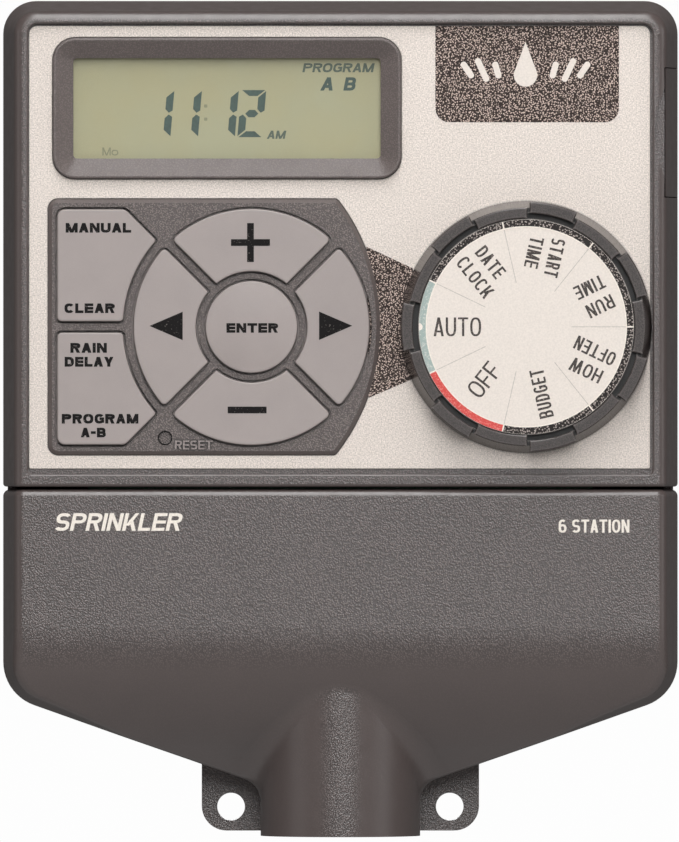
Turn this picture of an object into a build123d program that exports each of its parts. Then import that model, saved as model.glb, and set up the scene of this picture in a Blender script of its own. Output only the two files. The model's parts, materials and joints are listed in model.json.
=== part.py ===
from build123d import *

import math
import os

# Wall-mounted irrigation controller. Millimetres, +Z up, +X to the right seen from the front.
# The wall face is Y = 0 and the front faces -Y. A "depth" is the distance out from the wall.

# ---- housing, cover and back plate ----
WIDTH = 165.0
TOP_Z = 102.2
FOOT_Z = -102.2
TOP_CORNER_R = 8.1
LOW_CORNER_R = 11.3
WALL = 2.2
PLATE_INSET = 0.8
PLATE_THICKNESS = 2.5
TRAY_DEPTH = 12.0
PARTING_GAP = 0.3
FRONT_DEPTH = 42.0
DRAFT_FOOT_DEPTH = 30.0
DRAFT_DEG = 14.9
RIM_R = 2.5
PARTING_EDGE_R = 0.8
COVER_EDGE_R = 1.65
HOUSING_FOOT_Z = -16.6
COVER_TOP_Z = -17.3
FACE_DEPTH = 39.7
INNER_FACE_DEPTH = 37.2

# ---- the sloping foot of the body and the wire neck ----
SLOPE_DEG = 19.55
SLOPE_X = 74.6
SLOPE_Z = -70.2
KNEE_Z = -51.0
KNEE_R = 38.0
KNEE_DEG = 50.0
NECK_R = 19.55
NECK_BLEND_R = 6.0
NECK_ROOT_Z = -58.0
EAR_X = 34.1
EAR_FOOT_Z = -101.3
EAR_CORNER_R = 6.1
EAR_HOLE_X = 26.9
EAR_HOLE_Z = -95.4
EAR_HOLE_R = 3.4
EAR_THICKNESS = 3.0
EAR_ROOT_Z = -80.0

# ---- keyhole for the hanging screw ----
KEYHOLE_Z = 66.0
KEYHOLE_R = 4.5
KEYHOLE_SLOT = 4.5
KEYHOLE_RISE = 9.0

# ---- catches inside the cover ----
CATCH_TOP_Z = -30.0
CATCH_FOOT_Z = -50.0
CATCH_THICKNESS = 1.7
CATCH_CLEARANCE = 0.3
CATCH_BITE = 0.5
CATCH_BACK = 8.0
CATCH_ROOT_BACK = 13.0
CATCH_FRONT = 20.0

# ---- faceplate film and the pocket it lies in ----
FILM_LEFT = -76.1
FILM_RIGHT = 75.6
FILM_TOP_Z = 95.95
FILM_FOOT_Z = -12.2
FILM_THICKNESS = 0.4
FILM_EDGE_R = 0.15
FILM_GAP = 0.15
FILM_HOLE_GAP = 1.5
POCKET_X = 76.3
POCKET_TOP_Z = 96.45
POCKET_FOOT_Z = -13.6
POCKET_EDGE_R = 0.4

# ---- display ----
DISPLAY_X = -27.7
DISPLAY_Z = 75.8
BEZEL_W = 84.9
BEZEL_H = 34.3
BEZEL_R = 5.4
BEZEL_LIP = 0.6
BEZEL_EDGE_R = 0.4
BEVEL_FOOT_DEPTH = 39.2
WINDOW_W = 75.1
WINDOW_H = 24.5
SKIRT_WALL = 2.2
SKIRT_GAP = 0.3
LENS_LIP = 1.0
LENS_GAP = 0.1
LENS_FRONT = 38.4
LENS_THICKNESS = 1.1
GLASS_W = 80.0
GLASS_H = 30.0
GLASS_FRONT = 36.9
GLASS_BACK = 34.2
HOLDER_WALL = 2.0
HOLDER_GAP = 0.15
STRIP_LENGTH = 72.0
STRIP_WIDTH = 2.0
STRIP_RISE = 13.0

# ---- keypad ----
ENTER_X = -21.7
ENTER_Z = 22.4
ENTER_R = 11.3
RING_R = 28.9
RING_HOLE_R = 13.5
RING_WEB = 1.3
SIDE_KEY_ARC_R = 31.3
SIDE_KEY_LEFT = -69.2
SIDE_KEY_TOP = 51.2
SIDE_KEY_FOOT = 23.7
SIDE_KEY_SHOULDER = -52.5
PAD_LEFT = -71.3
PAD_TOP = 53.6
PAD_FOOT = -8.8
PAD_ARC_X = -41.0
PAD_ARC_Z = 22.7
PAD_ARC_R = 50.7
PAD_FRONT = 41.2
PAD_CHAMFER = 0.9
PAD_LEDGE = 0.8
KEY_FRONT = 42.2
KEY_BACK = 38.7
KEY_GAP = 0.45
KEY_FLANGE = 0.95
KEY_FLANGE_FRONT = 39.6
SIDE_KEY_BACK = 38.2
SIDE_FLANGE_FRONT = 38.9
KEY_EDGE_R = 0.5
ENTER_DOME = 0.5
RESET_X = -42.8
RESET_Z = -4.7
RESET_R = 1.8
MAT_THICKNESS = 1.0
DOME_FRONT = 37.4
DOME_R = 4.0
DOME_TOP_R = 2.5
DOME_WALL = 0.9
SIDE_DOME_X = -61.0
SIDE_DOME_RISES = (8.0, 22.0)
MAT_INSET = 1.4
MAT_HOLE_R = 5.0

# ---- reset button ----
BUTTON_R = 1.5
BUTTON_BACK = 36.5
BUTTON_FRONT = 40.2
COLLAR_R = 2.3
COLLAR_BACK = 38.4
COLLAR_FRONT = 39.4
RESET_SWITCH_W = 6.0
RESET_SWITCH_H = 5.8
RESET_SWITCH_FRONT = 35.4
PLUNGER_R = 1.2
PLUNGER_FRONT = 35.9

# ---- dial and its switch ----
DIAL_X = 45.3
DIAL_Z = 22.4
DIAL_BASE_R = 30.75
DIAL_TOP_R = 29.1
DIAL_RING_R = 26.4
DIAL_BACK = 40.4
DIAL_FRONT = 50.0
DIAL_WALL = 2.0
DIAL_CAVITY_FRONT = 46.4
DIAL_POSITIONS = 7
RIB_DEG = 22.4
RIB_INNER_R = 27.7
RIB_OUTER_R = 30.5
RIB_BACK = 41.4
NOTCH_DEG = 1.2
GROOVE_FLOOR = 47.6
LEDGE_DEPTH = 48.6
GRIP_EDGE_R = 0.4
LABEL_R = 26.2
LABEL_FRONT = 49.6
LABEL_THICKNESS = 0.3
HUB_R = 5.5
SHAFT_R = 3.0
SHAFT_RUNNING_GAP = 0.05
SHAFT_HOLE_GAP = 0.8
SWITCH_R = 12.0
SWITCH_FRONT = 37.0
SWITCH_WALL = 0.8
SWITCH_RIM = 1.5
SHAFT_BACK = 34.0
ROTOR_R = 8.0
ROTOR_BACK = 34.2
ROTOR_FRONT = 35.0
WIPER_R = 9.0
WIPER_THICKNESS = 0.3
SPRING_INNER_R = 9.5
SPRING_OUTER_R = 10.3
SPRING_SPREAD_DEG = 50.0
SPRING_FRONT = 36.0

# ---- boards ----
BOARD_THICKNESS = 1.6
MAIN_BOARD_FRONT = 33.0
DRIVER_BOARD_BACK = 8.5
BOARD_SCREW_R = 1.1
BOARD_HOLE_GAP = 0.2
BOARD_BOSS_R = 2.3
DRIVER_SCREW_R = 1.25
DRIVER_POST_R = 3.0
MAIN_BOARD_CORNERS = [(-71.5, -12.5), (71.0, -12.5), (71.0, 49.0), (40.0, 49.0), (40.0, 93.5), (-71.5, 93.5)]
DRIVER_BOARD_PLACE = (0.0, -21.0)
DRIVER_BOARD_W = 124.0
DRIVER_BOARD_H = 58.0
MAIN_BOARD_FIXINGS = [(-68.0, 55.9), (14.0, 55.9), (66.0, 46.0), (66.0, -8.0), (18.0, -8.0)]
DRIVER_BOARD_FIXINGS = [(-58.0, 4.0), (58.0, 4.0), (-58.0, -46.0), (58.0, -46.0)]

# ---- components behind the main board ----
CHIP_PLACE = (-24.0, 36.0)
CHIP_SIDE = 12.0
CHIP_HEIGHT = 1.8
CRYSTAL_PLACE = (-40.0, 36.0)
CRYSTAL_W = 3.6
CRYSTAL_H = 9.4
CRYSTAL_HEIGHT = 3.4
CAN_XS = (-4.0, 4.0, 12.0)
CAN_Z = 14.0
CAN_R = 2.5
CAN_HEIGHT = 7.0

# ---- components on the driver board ----
TRIACS = 8
TRIAC_PITCH = 14.0
TRIAC_Z = -25.0
TRIAC_R = 2.4
TRIAC_FLAT = 1.3
TRIAC_LENGTH = 5.0
TRIAC_LIFT = 1.5
LEAD_R = 0.3
LEAD_PITCH = 1.27
VARISTOR_PLACE = (52.0, -8.0)
VARISTOR_R = 5.0
VARISTOR_THICKNESS = 4.0
VARISTOR_RISE = 6.2
VARISTOR_LEAD_R = 0.4
VARISTOR_LEAD_SPREAD = 3.0
FILTER_PLACE = (34.0, -6.0)
FILTER_R = 6.3
FILTER_FRONT = 26.0
FILTER_EDGE_R = 0.8
DIODE_XS = (-4.0, 1.0, 6.0, 11.0)
DIODE_Z = -7.0
DIODE_R = 1.35
DIODE_LENGTH = 5.2
DIODE_RISE = 1.8
DIODE_LEAD_W = 0.8
DIODE_LEAD_LENGTH = 2.4
DIODE_LEAD_REACH = 3.6
DIODE_LEAD_RISE = 2.1
FUSE_PLACE = (-48.0, -8.0)
FUSE_R = 2.6
FUSE_LENGTH = 20.0
FUSE_RISE = 4.5
CLIP_REACH = 7.5
CLIP_W = 4.0
CLIP_H = 6.8
CLIP_HEIGHT = 5.5
REGULATOR_PLACE = (20.0, -9.25)
REGULATOR_W = 10.0
REGULATOR_THICKNESS = 4.5
REGULATOR_LIFT = 3.0
REGULATOR_FRONT = 28.0
REGULATOR_LEAD_PITCH = 2.5
REGULATOR_LEAD_W = 0.8
REGULATOR_LEAD_THICKNESS = 0.5
HEADER_X = -20.0
HEADER_W = 24.0
HEADER_H = 5.5
HEADER_HEIGHT = 6.0
MAIN_HEADER_Z = -6.25
DRIVER_HEADER_Z = 1.0
RIBBON_W = 22.0
RIBBON_THICKNESS = 0.8
RIBBON_BEND_R = 1.5
RIBBON_STRAIGHT = 3.0

# ---- terminal block ----
TERMINALS = 10
TERMINAL_PITCH = 10.0
TERMINAL_FRONT = 24.0
TERMINAL_TOP = -31.0
TERMINAL_FOOT = -44.0
TERMINAL_END = 2.0
TERMINAL_WELL_Z = -38.0
WELL_R = 2.8
WELL_DEPTH = 6.0
BORE_R = 1.7
BORE_BACK = 16.0
CAGE_W = 5.8
CAGE_BACK = 12.0
CAGE_FRONT = 17.0
CAGE_TOP = -34.0
CLAMP_W = 5.2
CLAMP_FOOT = -42.0
CLAMP_TOP = -34.5
CLAMP_BACK = 12.9
CLAMP_FRONT = 14.0
TERMINAL_HEAD_R = 2.5
TERMINAL_HEAD_BACK = 18.2
TERMINAL_HEAD_FRONT = 20.4
TERMINAL_SHANK_R = 1.4
DRIVE_SLOT_W = 0.8
DRIVE_SLOT_DEPTH = 1.0

# ---- battery drawer ----
DRAWER_LEFT = 79.1
DRAWER_TOP = 85.8
DRAWER_FOOT = 54.0
DRAWER_GAP = 0.25
CELL_R = 10.0
CELL_THICKNESS = 3.2
CELL_X = 62.0
CELL_Z = 69.9
TRAY_BACK = 31.8
TRAY_FRONT = 36.6
TRAY_INNER_X = 48.0
TRAY_HALF_H = 13.9
TRAY_FLOOR = 1.0
CELL_GAP = 0.15
CELL_PEEP_R = 7.0
SCOOP_R = 25.7
SCOOP_LEFT = 76.8
SCOOP_DEPTH = 1.2
GUIDE_LEFT = 44.0
GUIDE_RIGHT = 78.0
GUIDE_WALL = 1.4
GUIDE_SLACK = 0.3
GUIDE_BACK = 30.0
CONTACT_LEFT = 52.0
CONTACT_RIGHT = 72.0
CONTACT_HALF_W = 1.4
CONTACT_THICKNESS = 0.2

# ---- screws ----
HOUSING_SCREW_R = 1.5
HOUSING_SCREW_LENGTH = 16.0
SCREW_HEAD_R = 2.7
SCREW_HEAD_H = 2.0
SCREW_SEAT_DEPTH = 6.0
SCREW_GAP = 0.3
BOARD_HEAD_R = 2.0
BOARD_HEAD_H = 1.6
BOARD_SCREW_LENGTH = 5.0
DRIVER_HEAD_R = 2.4
DRIVER_SCREW_LENGTH = 6.0
PILLAR_R = 4.6
UPPER_BOSS = (75.6, 95.2)
LOWER_BOSS = (75.8, -10.5)
BOSS_R = 3.3
BOSS_PILOT_FRONT = 26.0

OUTWARD = Vector(0, -1, 0)
MAIN_BOARD_BACK = MAIN_BOARD_FRONT - BOARD_THICKNESS
DRIVER_BOARD_FRONT = DRIVER_BOARD_BACK + BOARD_THICKNESS
SHELL_BACK = TRAY_DEPTH + PARTING_GAP


# ---- drawing helpers ----
def slab(face, back, front):
    """A face drawn in the front view, X across and Z up, made solid between two depths."""
    return extrude(Plane.XZ.offset(back) * face, front - back, dir=OUTWARD)


def post(x, z, radius, back, front):
    return slab(Pos(x, z) * Circle(radius), back, front)


def block(left, right, foot, top, back, front):
    face = Pos((left + right) / 2, (foot + top) / 2) * Rectangle(right - left, top - foot)
    return slab(face, back, front)


def brick(place, width, height, back, front):
    """A block given by its middle in the front view."""
    return slab(Pos(*place) * Rectangle(width, height), back, front)


def drafted(face, back, front):
    """Like slab, but its walls lean inwards in front of DRAFT_FOOT_DEPTH."""
    plane = Plane.XZ.offset(DRAFT_FOOT_DEPTH)
    leaning = extrude(plane * face, front - DRAFT_FOOT_DEPTH, dir=OUTWARD, taper=DRAFT_DEG)
    return slab(face, back, DRAFT_FOOT_DEPTH) + leaning


def turned(x, z, profile):
    """A closed (radius, depth) profile turned about the front-to-back line through x, z."""
    plane = Plane(origin=(x, 0, z), x_dir=(1, 0, 0), z_dir=(0, 0, -1))
    face = plane * make_face(Polyline(*profile, close=True))
    return revolve(face, Axis((x, 0, z), (0, 1, 0)), 360)


def rounded(points, radii):
    return make_face(FilletPolyline(*points, radius=radii, close=True))


def framed(centre_x, centre_z, width, height, radius):
    return Pos(centre_x, centre_z) * RectangleRounded(width, height, radius)


def both_sides(points):
    return [(side * x, z) for x, z in points for side in (-1, 1)]


def front_edges(solid):
    return solid.edges().group_by(Axis.Y)[0]


def lies_inside(edge, half_width, top):
    """Whether an edge's middle is within half_width of the centre line and no higher than top."""
    middle = edge.center()
    return abs(middle.X) < half_width + 0.01 and middle.Z < top + 0.01


def save(name, shape):
    export_step(shape, f"parts/{name}.step")


# ---- outlines in the front view ----
def slope_z(x, inset):
    """Height of the sloping lower edge at distance x from the middle."""
    angle = math.radians(SLOPE_DEG)
    return SLOPE_Z - (SLOPE_X - abs(x)) * math.tan(angle) + inset / math.cos(angle)


def body_outline(inset, foot):
    """The whole body with its neck, every wall moved in by inset."""
    half = WIDTH / 2 - inset
    neck = NECK_R - inset
    right = [
        (neck, foot),
        (neck, slope_z(neck, inset)),
        (half, slope_z(half, inset)),
        (half, TOP_Z - inset),
    ]
    radii = [0, NECK_BLEND_R + inset, LOW_CORNER_R - inset, TOP_CORNER_R - inset]
    left = [(-x, z) for x, z in reversed(right)]
    return rounded(right + left, radii + radii[::-1])


def housing_outline(inset, foot):
    half = WIDTH / 2 - inset
    points = [(half, foot), (half, TOP_Z - inset), (-half, TOP_Z - inset), (-half, foot)]
    corner = TOP_CORNER_R - inset
    return rounded(points, [0, corner, corner, 0])


def film_outline():
    points = [(FILM_RIGHT, FILM_FOOT_Z), (FILM_RIGHT, FILM_TOP_Z)]
    points += [(FILM_LEFT, FILM_TOP_Z), (FILM_LEFT, FILM_FOOT_Z)]
    return rounded(points, [0.5, 2.0, 2.0, 0.5])


def pocket_outline():
    points = [(POCKET_X, POCKET_FOOT_Z), (POCKET_X, POCKET_TOP_Z)]
    points += [(-POCKET_X, POCKET_TOP_Z), (-POCKET_X, POCKET_FOOT_Z)]
    return rounded(points, [1.2, 2.5, 2.5, 1.2])


def pad_outline():
    """The keypad plate: straight on three sides, bowed on the right."""
    right = PAD_ARC_X + PAD_ARC_R
    corners = [(PAD_LEFT, PAD_FOOT), (right, PAD_FOOT), (right, PAD_TOP), (PAD_LEFT, PAD_TOP)]
    box = rounded(corners, [2.4, 0, 0, 2.4])
    face = box & (Pos(PAD_ARC_X, PAD_ARC_Z) * Circle(PAD_ARC_R))
    return fillet(face.vertices().sort_by(Axis.X)[-2:], 1.2)


# ---- key faces in the front view ----
def ring_key(turn):
    """One of the four keys round the middle one, at turn degrees from +X."""
    apex = RING_WEB * math.sqrt(2)
    wedge = make_face(Polyline((apex, 0), (60, 60 - apex), (60, apex - 60), close=True))
    face = (Circle(RING_R) - Circle(RING_HOLE_R)) & wedge
    corners = face.vertices().sort_by(Axis.X)
    face = fillet(corners[-2:], 1.2)
    face = fillet(face.vertices().sort_by(Axis.X)[:2], 0.5)
    return Pos(ENTER_X, ENTER_Z) * Rot(0, 0, turn) * face


def side_key(side):
    """The tall key left of the ring, above (side 1) or below (side -1) the middle."""
    top = SIDE_KEY_TOP - ENTER_Z
    foot = SIDE_KEY_FOOT - ENTER_Z
    reach = 12.0
    points = [
        (SIDE_KEY_LEFT, foot),
        (SIDE_KEY_SHOULDER + reach, foot),
        (SIDE_KEY_SHOULDER + reach, top - reach),
        (SIDE_KEY_SHOULDER, top),
        (SIDE_KEY_LEFT, top),
    ]
    face = rounded(points, [1.2, 0, 0, 2.0, 2.0]) - Pos(ENTER_X, 0) * Circle(SIDE_KEY_ARC_R)
    face = fillet(face.vertices().sort_by(Axis.X)[-1:], 0.8)
    inner_corner = face.vertices().sort_by(Axis.Y)[:2].sort_by(Axis.X)[-1:]
    face = fillet(inner_corner, 1.0)
    if side < 0:
        face = mirror(face, Plane.XZ)
    return Pos(0, ENTER_Z) * face


def enter_face():
    return Pos(ENTER_X, ENTER_Z) * Circle(ENTER_R)


# ---- shells ----
def back_plate():
    ears = rounded(
        [(EAR_X, EAR_FOOT_Z), (EAR_X, EAR_ROOT_Z), (-EAR_X, EAR_ROOT_Z), (-EAR_X, EAR_FOOT_Z)],
        [EAR_CORNER_R, 0, 0, EAR_CORNER_R],
    )
    outline = body_outline(PLATE_INSET, FOOT_Z)
    tray = slab(outline, 0, TRAY_DEPTH)
    tray -= slab(body_outline(PLATE_INSET + WALL, FOOT_Z - 1), PLATE_THICKNESS, TRAY_DEPTH + 1)
    tray += slab(ears - outline, 0, EAR_THICKNESS)
    for x, z in both_sides([UPPER_BOSS, LOWER_BOSS]):
        tray += post(x, z, PILLAR_R, PLATE_THICKNESS, TRAY_DEPTH)
        tray -= post(x, z, HOUSING_SCREW_R + SCREW_GAP, -1, TRAY_DEPTH + 1)
        tray -= post(x, z, SCREW_HEAD_R + SCREW_GAP, -1, SCREW_SEAT_DEPTH)
    for x, z in DRIVER_BOARD_FIXINGS:
        tray += post(x, z, DRIVER_POST_R, PLATE_THICKNESS, DRIVER_BOARD_BACK)
        tray -= post(x, z, DRIVER_SCREW_R, PLATE_THICKNESS, DRIVER_BOARD_BACK + 1)
    for x, z in both_sides([(EAR_HOLE_X, EAR_HOLE_Z)]):
        tray -= post(x, z, EAR_HOLE_R, -1, EAR_THICKNESS + 1)
    tray -= post(0, KEYHOLE_Z, KEYHOLE_R, -1, PLATE_THICKNESS + 1)
    slot = Pos(0, KEYHOLE_Z + KEYHOLE_RISE / 2) * Rectangle(KEYHOLE_SLOT, KEYHOLE_RISE)
    slot += Pos(0, KEYHOLE_Z + KEYHOLE_RISE) * Circle(KEYHOLE_SLOT / 2)
    tray -= slab(slot, -1, PLATE_THICKNESS + 1)
    return tray


def drawer_opening():
    """What the battery drawer's cap fills of the housing's right edge, and the slot that its tray passes."""
    back = DRAFT_FOOT_DEPTH - DRAWER_GAP
    cap_room = block(DRAWER_LEFT, WIDTH / 2 + 1, DRAWER_FOOT, DRAWER_TOP, back, FRONT_DEPTH + 1)
    half = TRAY_HALF_H + GUIDE_SLACK
    slot_front = TRAY_FRONT + GUIDE_SLACK
    return cap_room + block(GUIDE_RIGHT, DRAWER_LEFT + 1, CELL_Z - half, CELL_Z + half, back, slot_front)


def housing_solid(inset, foot, front):
    """The upper housing's outer shape, filled, every wall moved in by inset."""
    below = 10.0
    form = drafted(housing_outline(inset, foot - below), SHELL_BACK, front)
    return form - block(-WIDTH, WIDTH, foot - 2 * below, foot, 0, FRONT_DEPTH + 1)


def housing_form():
    """The outer skin of the upper housing, closed, with its rounded rim and lower edge."""
    form = housing_solid(0, HOUSING_FOOT_Z, FRONT_DEPTH)
    rim = [edge for edge in front_edges(form) if edge.center().Z > HOUSING_FOOT_Z + 1]
    form = fillet(rim, RIM_R)
    underside = form.faces().sort_by(Axis.Z)[0]
    parting_edges = [edge for edge in underside.edges() if edge.center().Y < -SHELL_BACK - 1]
    return fillet(parting_edges, PARTING_EDGE_R)


def front_housing():
    shell = housing_form()
    shell -= slab(pocket_outline(), FACE_DEPTH, FRONT_DEPTH + 1)
    pocket_rim = [edge for edge in front_edges(shell) if lies_inside(edge, POCKET_X, POCKET_TOP_Z)]
    shell = fillet(pocket_rim, POCKET_EDGE_R)
    shell -= housing_solid(WALL, HOUSING_FOOT_Z + WALL, INNER_FACE_DEPTH)
    mouth_w = WINDOW_W + 2 * SKIRT_WALL + 2 * SKIRT_GAP
    mouth_h = WINDOW_H + 2 * SKIRT_WALL + 2 * SKIRT_GAP
    through_back = INNER_FACE_DEPTH - 1
    through_front = FACE_DEPTH + 1
    shell -= slab(framed(DISPLAY_X, DISPLAY_Z, mouth_w, mouth_h, 1.0), through_back, through_front)
    shell -= slab(offset(pad_outline(), -PAD_LEDGE), through_back, through_front)
    shell -= post(DIAL_X, DIAL_Z, SHAFT_R + SHAFT_HOLE_GAP, through_back, through_front)
    for x, z in both_sides([UPPER_BOSS, LOWER_BOSS]):
        shell += post(x, z, BOSS_R, SHELL_BACK, INNER_FACE_DEPTH)
        shell -= post(x, z, HOUSING_SCREW_R, SHELL_BACK - 1, BOSS_PILOT_FRONT)
    for x, z in MAIN_BOARD_FIXINGS:
        shell += post(x, z, BOARD_BOSS_R, MAIN_BOARD_FRONT, INNER_FACE_DEPTH)
        shell -= post(x, z, BOARD_SCREW_R, MAIN_BOARD_FRONT - 1, INNER_FACE_DEPTH)
    shell -= drawer_opening()
    scoop = post(SCOOP_LEFT + SCOOP_R, CELL_Z, SCOOP_R, FRONT_DEPTH - SCOOP_DEPTH, FRONT_DEPTH + 1)
    crest = block(SCOOP_LEFT - 1, DRAWER_LEFT + 1, DRAWER_FOOT, DRAWER_TOP, FACE_DEPTH, FRONT_DEPTH + 1)
    return shell - (scoop & crest)


def cover_body(inset):
    """The lower cover without its neck, every wall moved in by inset: flat front, curved foot."""
    flat = FRONT_DEPTH - inset
    centre = FRONT_DEPTH - KNEE_R
    radius = KNEE_R - inset
    turn = math.radians(KNEE_DEG)
    end_depth = centre + radius * math.cos(turn)
    end_z = KNEE_Z - radius * math.sin(turn)
    middle = (-centre - radius * math.cos(turn / 2), KNEE_Z - radius * math.sin(turn / 2))
    foot_z = end_z - end_depth / math.tan(turn)
    top = COVER_TOP_Z - inset
    side = Polyline((0, foot_z), (0, top), (-flat, top), (-flat, KNEE_Z))
    side += ThreePointArc((-flat, KNEE_Z), middle, (-end_depth, end_z))
    side += Line((-end_depth, end_z), (0, foot_z))
    half = WIDTH / 2 - inset
    prism = extrude(Plane.YZ * make_face(side), half, both=True)
    corner = LOW_CORNER_R - inset
    shoulder = slope_z(half, inset)
    above = top + 10.0
    points = [(half, above), (half, shoulder), (0, slope_z(0, inset)), (-half, shoulder), (-half, above)]
    return prism & drafted(rounded(points, [0, corner, 0, corner, 0]), 0, FRONT_DEPTH)


def neck_form(inset, foot):
    """The half-round wire neck, from foot up into the body."""
    radius = NECK_R - inset
    face = Pos(0, -NECK_R) * Circle(radius)
    face += Pos(0, -NECK_R / 2) * Rectangle(2 * radius, NECK_R)
    return Pos(0, 0, foot) * extrude(face, NECK_ROOT_Z - foot)


def is_outer_corner(edge):
    """Whether an edge of the cover's body is one of the corners to round, between its front and its sides."""
    start = edge @ 0
    end = edge @ 1
    box = edge.bounding_box()
    small = 0.01
    runs_back = abs(start.X - end.X) < small and abs(start.Z - end.Z) < small
    runs_across = abs(start.Y - end.Y) < small and abs(start.Z - end.Z) < small
    at_top = box.min.Z > COVER_TOP_Z - small
    at_wall = box.min.Y > -small
    at_draft_foot = abs(box.min.Y + DRAFT_FOOT_DEPTH) < small and box.size.Y < small
    return not (runs_back or runs_across or at_top or at_wall or at_draft_foot)


def lies_on_skin(edge):
    """Whether an edge of the cover's top face is on its outside: the front, a side or a leaning side."""
    middle = edge.center()
    leans = max(0.0, -middle.Y - DRAFT_FOOT_DEPTH) * math.tan(math.radians(DRAFT_DEG))
    on_side = abs(middle.X) > WIDTH / 2 - leans - WALL / 2
    on_front = -middle.Y > FRONT_DEPTH - WALL / 2
    return middle.Y < -SHELL_BACK - 1 and (on_side or on_front)


def lower_cover():
    body = cover_body(0)
    body = fillet([edge for edge in body.edges() if is_outer_corner(edge)], RIM_R)
    neck = neck_form(0, FOOT_Z)
    form = body + neck
    seam = new_edges(body, neck, combined=form)
    form = fillet([edge for edge in seam if edge.bounding_box().min.Y < -1], NECK_BLEND_R)
    cover = form - cover_body(WALL) - neck_form(WALL, FOOT_Z - 1)
    cover -= Pos(0, -SHELL_BACK / 2, 0) * Box(2 * WIDTH, SHELL_BACK, 3 * TOP_Z)
    top_face = cover.faces().sort_by(Axis.Z)[-1]
    outer_rim = [edge for edge in top_face.edges() if lies_on_skin(edge)]
    cover = fillet(outer_rim, COVER_EDGE_R)
    wall = WIDTH / 2 - WALL
    arm = wall - PLATE_INSET - CATCH_CLEARANCE
    catch = block(arm - CATCH_THICKNESS, arm, CATCH_FOOT_Z, CATCH_TOP_Z, CATCH_BACK, CATCH_FRONT)
    catch += block(arm, wall + CATCH_BITE, CATCH_FOOT_Z, CATCH_TOP_Z, CATCH_ROOT_BACK, CATCH_FRONT)
    return cover + catch + mirror(catch, Plane.YZ)


# ---- display ----
def film():
    face = film_outline()
    face -= framed(DISPLAY_X, DISPLAY_Z, BEZEL_W + 2 * FILM_GAP, BEZEL_H + 2 * FILM_GAP, BEZEL_R + FILM_GAP)
    face -= offset(pad_outline(), FILM_GAP)
    face -= Pos(DIAL_X, DIAL_Z) * Circle(SHAFT_R + FILM_HOLE_GAP)
    sheet = slab(face, FACE_DEPTH, FACE_DEPTH + FILM_THICKNESS)
    return fillet(front_edges(sheet), FILM_EDGE_R)


def display_bezel():
    bezel = slab(framed(DISPLAY_X, DISPLAY_Z, BEZEL_W, BEZEL_H, BEZEL_R), FACE_DEPTH, FRONT_DEPTH)
    bezel = fillet(front_edges(bezel), BEZEL_EDGE_R)
    skirt = framed(DISPLAY_X, DISPLAY_Z, WINDOW_W + 2 * SKIRT_WALL, WINDOW_H + 2 * SKIRT_WALL, 0.8)
    bezel += slab(skirt, INNER_FACE_DEPTH, FACE_DEPTH)
    mouth_w = BEZEL_W - 2 * BEZEL_LIP
    mouth_h = BEZEL_H - 2 * BEZEL_LIP
    mouth = framed(DISPLAY_X, DISPLAY_Z, mouth_w, mouth_h, BEZEL_R - BEZEL_LIP)
    window = framed(DISPLAY_X, DISPLAY_Z, WINDOW_W, WINDOW_H, 1.0)
    bezel -= loft([Plane.XZ.offset(FRONT_DEPTH) * mouth, Plane.XZ.offset(BEVEL_FOOT_DEPTH) * window])
    bezel -= slab(window, INNER_FACE_DEPTH - 1, BEVEL_FOOT_DEPTH + 0.01)
    rebate_w = WINDOW_W + 2 * LENS_LIP + 2 * LENS_GAP
    rebate_h = WINDOW_H + 2 * LENS_LIP + 2 * LENS_GAP
    rebate = framed(DISPLAY_X, DISPLAY_Z, rebate_w, rebate_h, 0.6)
    return bezel - slab(rebate, INNER_FACE_DEPTH - 1, LENS_FRONT)


def display_lens():
    face = framed(DISPLAY_X, DISPLAY_Z, WINDOW_W + 2 * LENS_LIP, WINDOW_H + 2 * LENS_LIP, 0.5)
    return slab(face, LENS_FRONT - LENS_THICKNESS, LENS_FRONT)


def lcd_glass():
    return slab(framed(DISPLAY_X, DISPLAY_Z, GLASS_W, GLASS_H, 0.4), GLASS_BACK, GLASS_FRONT)


def lcd_holder():
    inner_w = GLASS_W + 2 * HOLDER_GAP
    inner_h = GLASS_H + 2 * HOLDER_GAP
    outer = framed(DISPLAY_X, DISPLAY_Z, inner_w + 2 * HOLDER_WALL, inner_h + 2 * HOLDER_WALL, 1.0)
    return slab(outer - framed(DISPLAY_X, DISPLAY_Z, inner_w, inner_h, 0.5), MAIN_BOARD_FRONT, GLASS_FRONT)


def lcd_connector_strips():
    spots = [(DISPLAY_X, DISPLAY_Z + side * STRIP_RISE) for side in (-1, 1)]
    return Part() + [brick(spot, STRIP_LENGTH, STRIP_WIDTH, MAIN_BOARD_FRONT, GLASS_BACK) for spot in spots]


# ---- keypad ----
KEY_FACES = {
    "key_enter": enter_face(),
    "key_right": ring_key(0),
    "key_plus": ring_key(90),
    "key_left": ring_key(180),
    "key_minus": ring_key(270),
    "key_manual_clear": side_key(1),
    "key_rain_program": side_key(-1),
}
ROCKING_KEYS = ("key_manual_clear", "key_rain_program")


def keypad_plate():
    plate = slab(pad_outline(), FACE_DEPTH, PAD_FRONT)
    plate = chamfer(front_edges(plate), PAD_CHAMFER)
    for face in KEY_FACES.values():
        plate -= slab(offset(face, KEY_GAP), FACE_DEPTH - 1, PAD_FRONT + 1)
    return plate - post(RESET_X, RESET_Z, RESET_R, FACE_DEPTH - 1, PAD_FRONT + 1)


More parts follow.
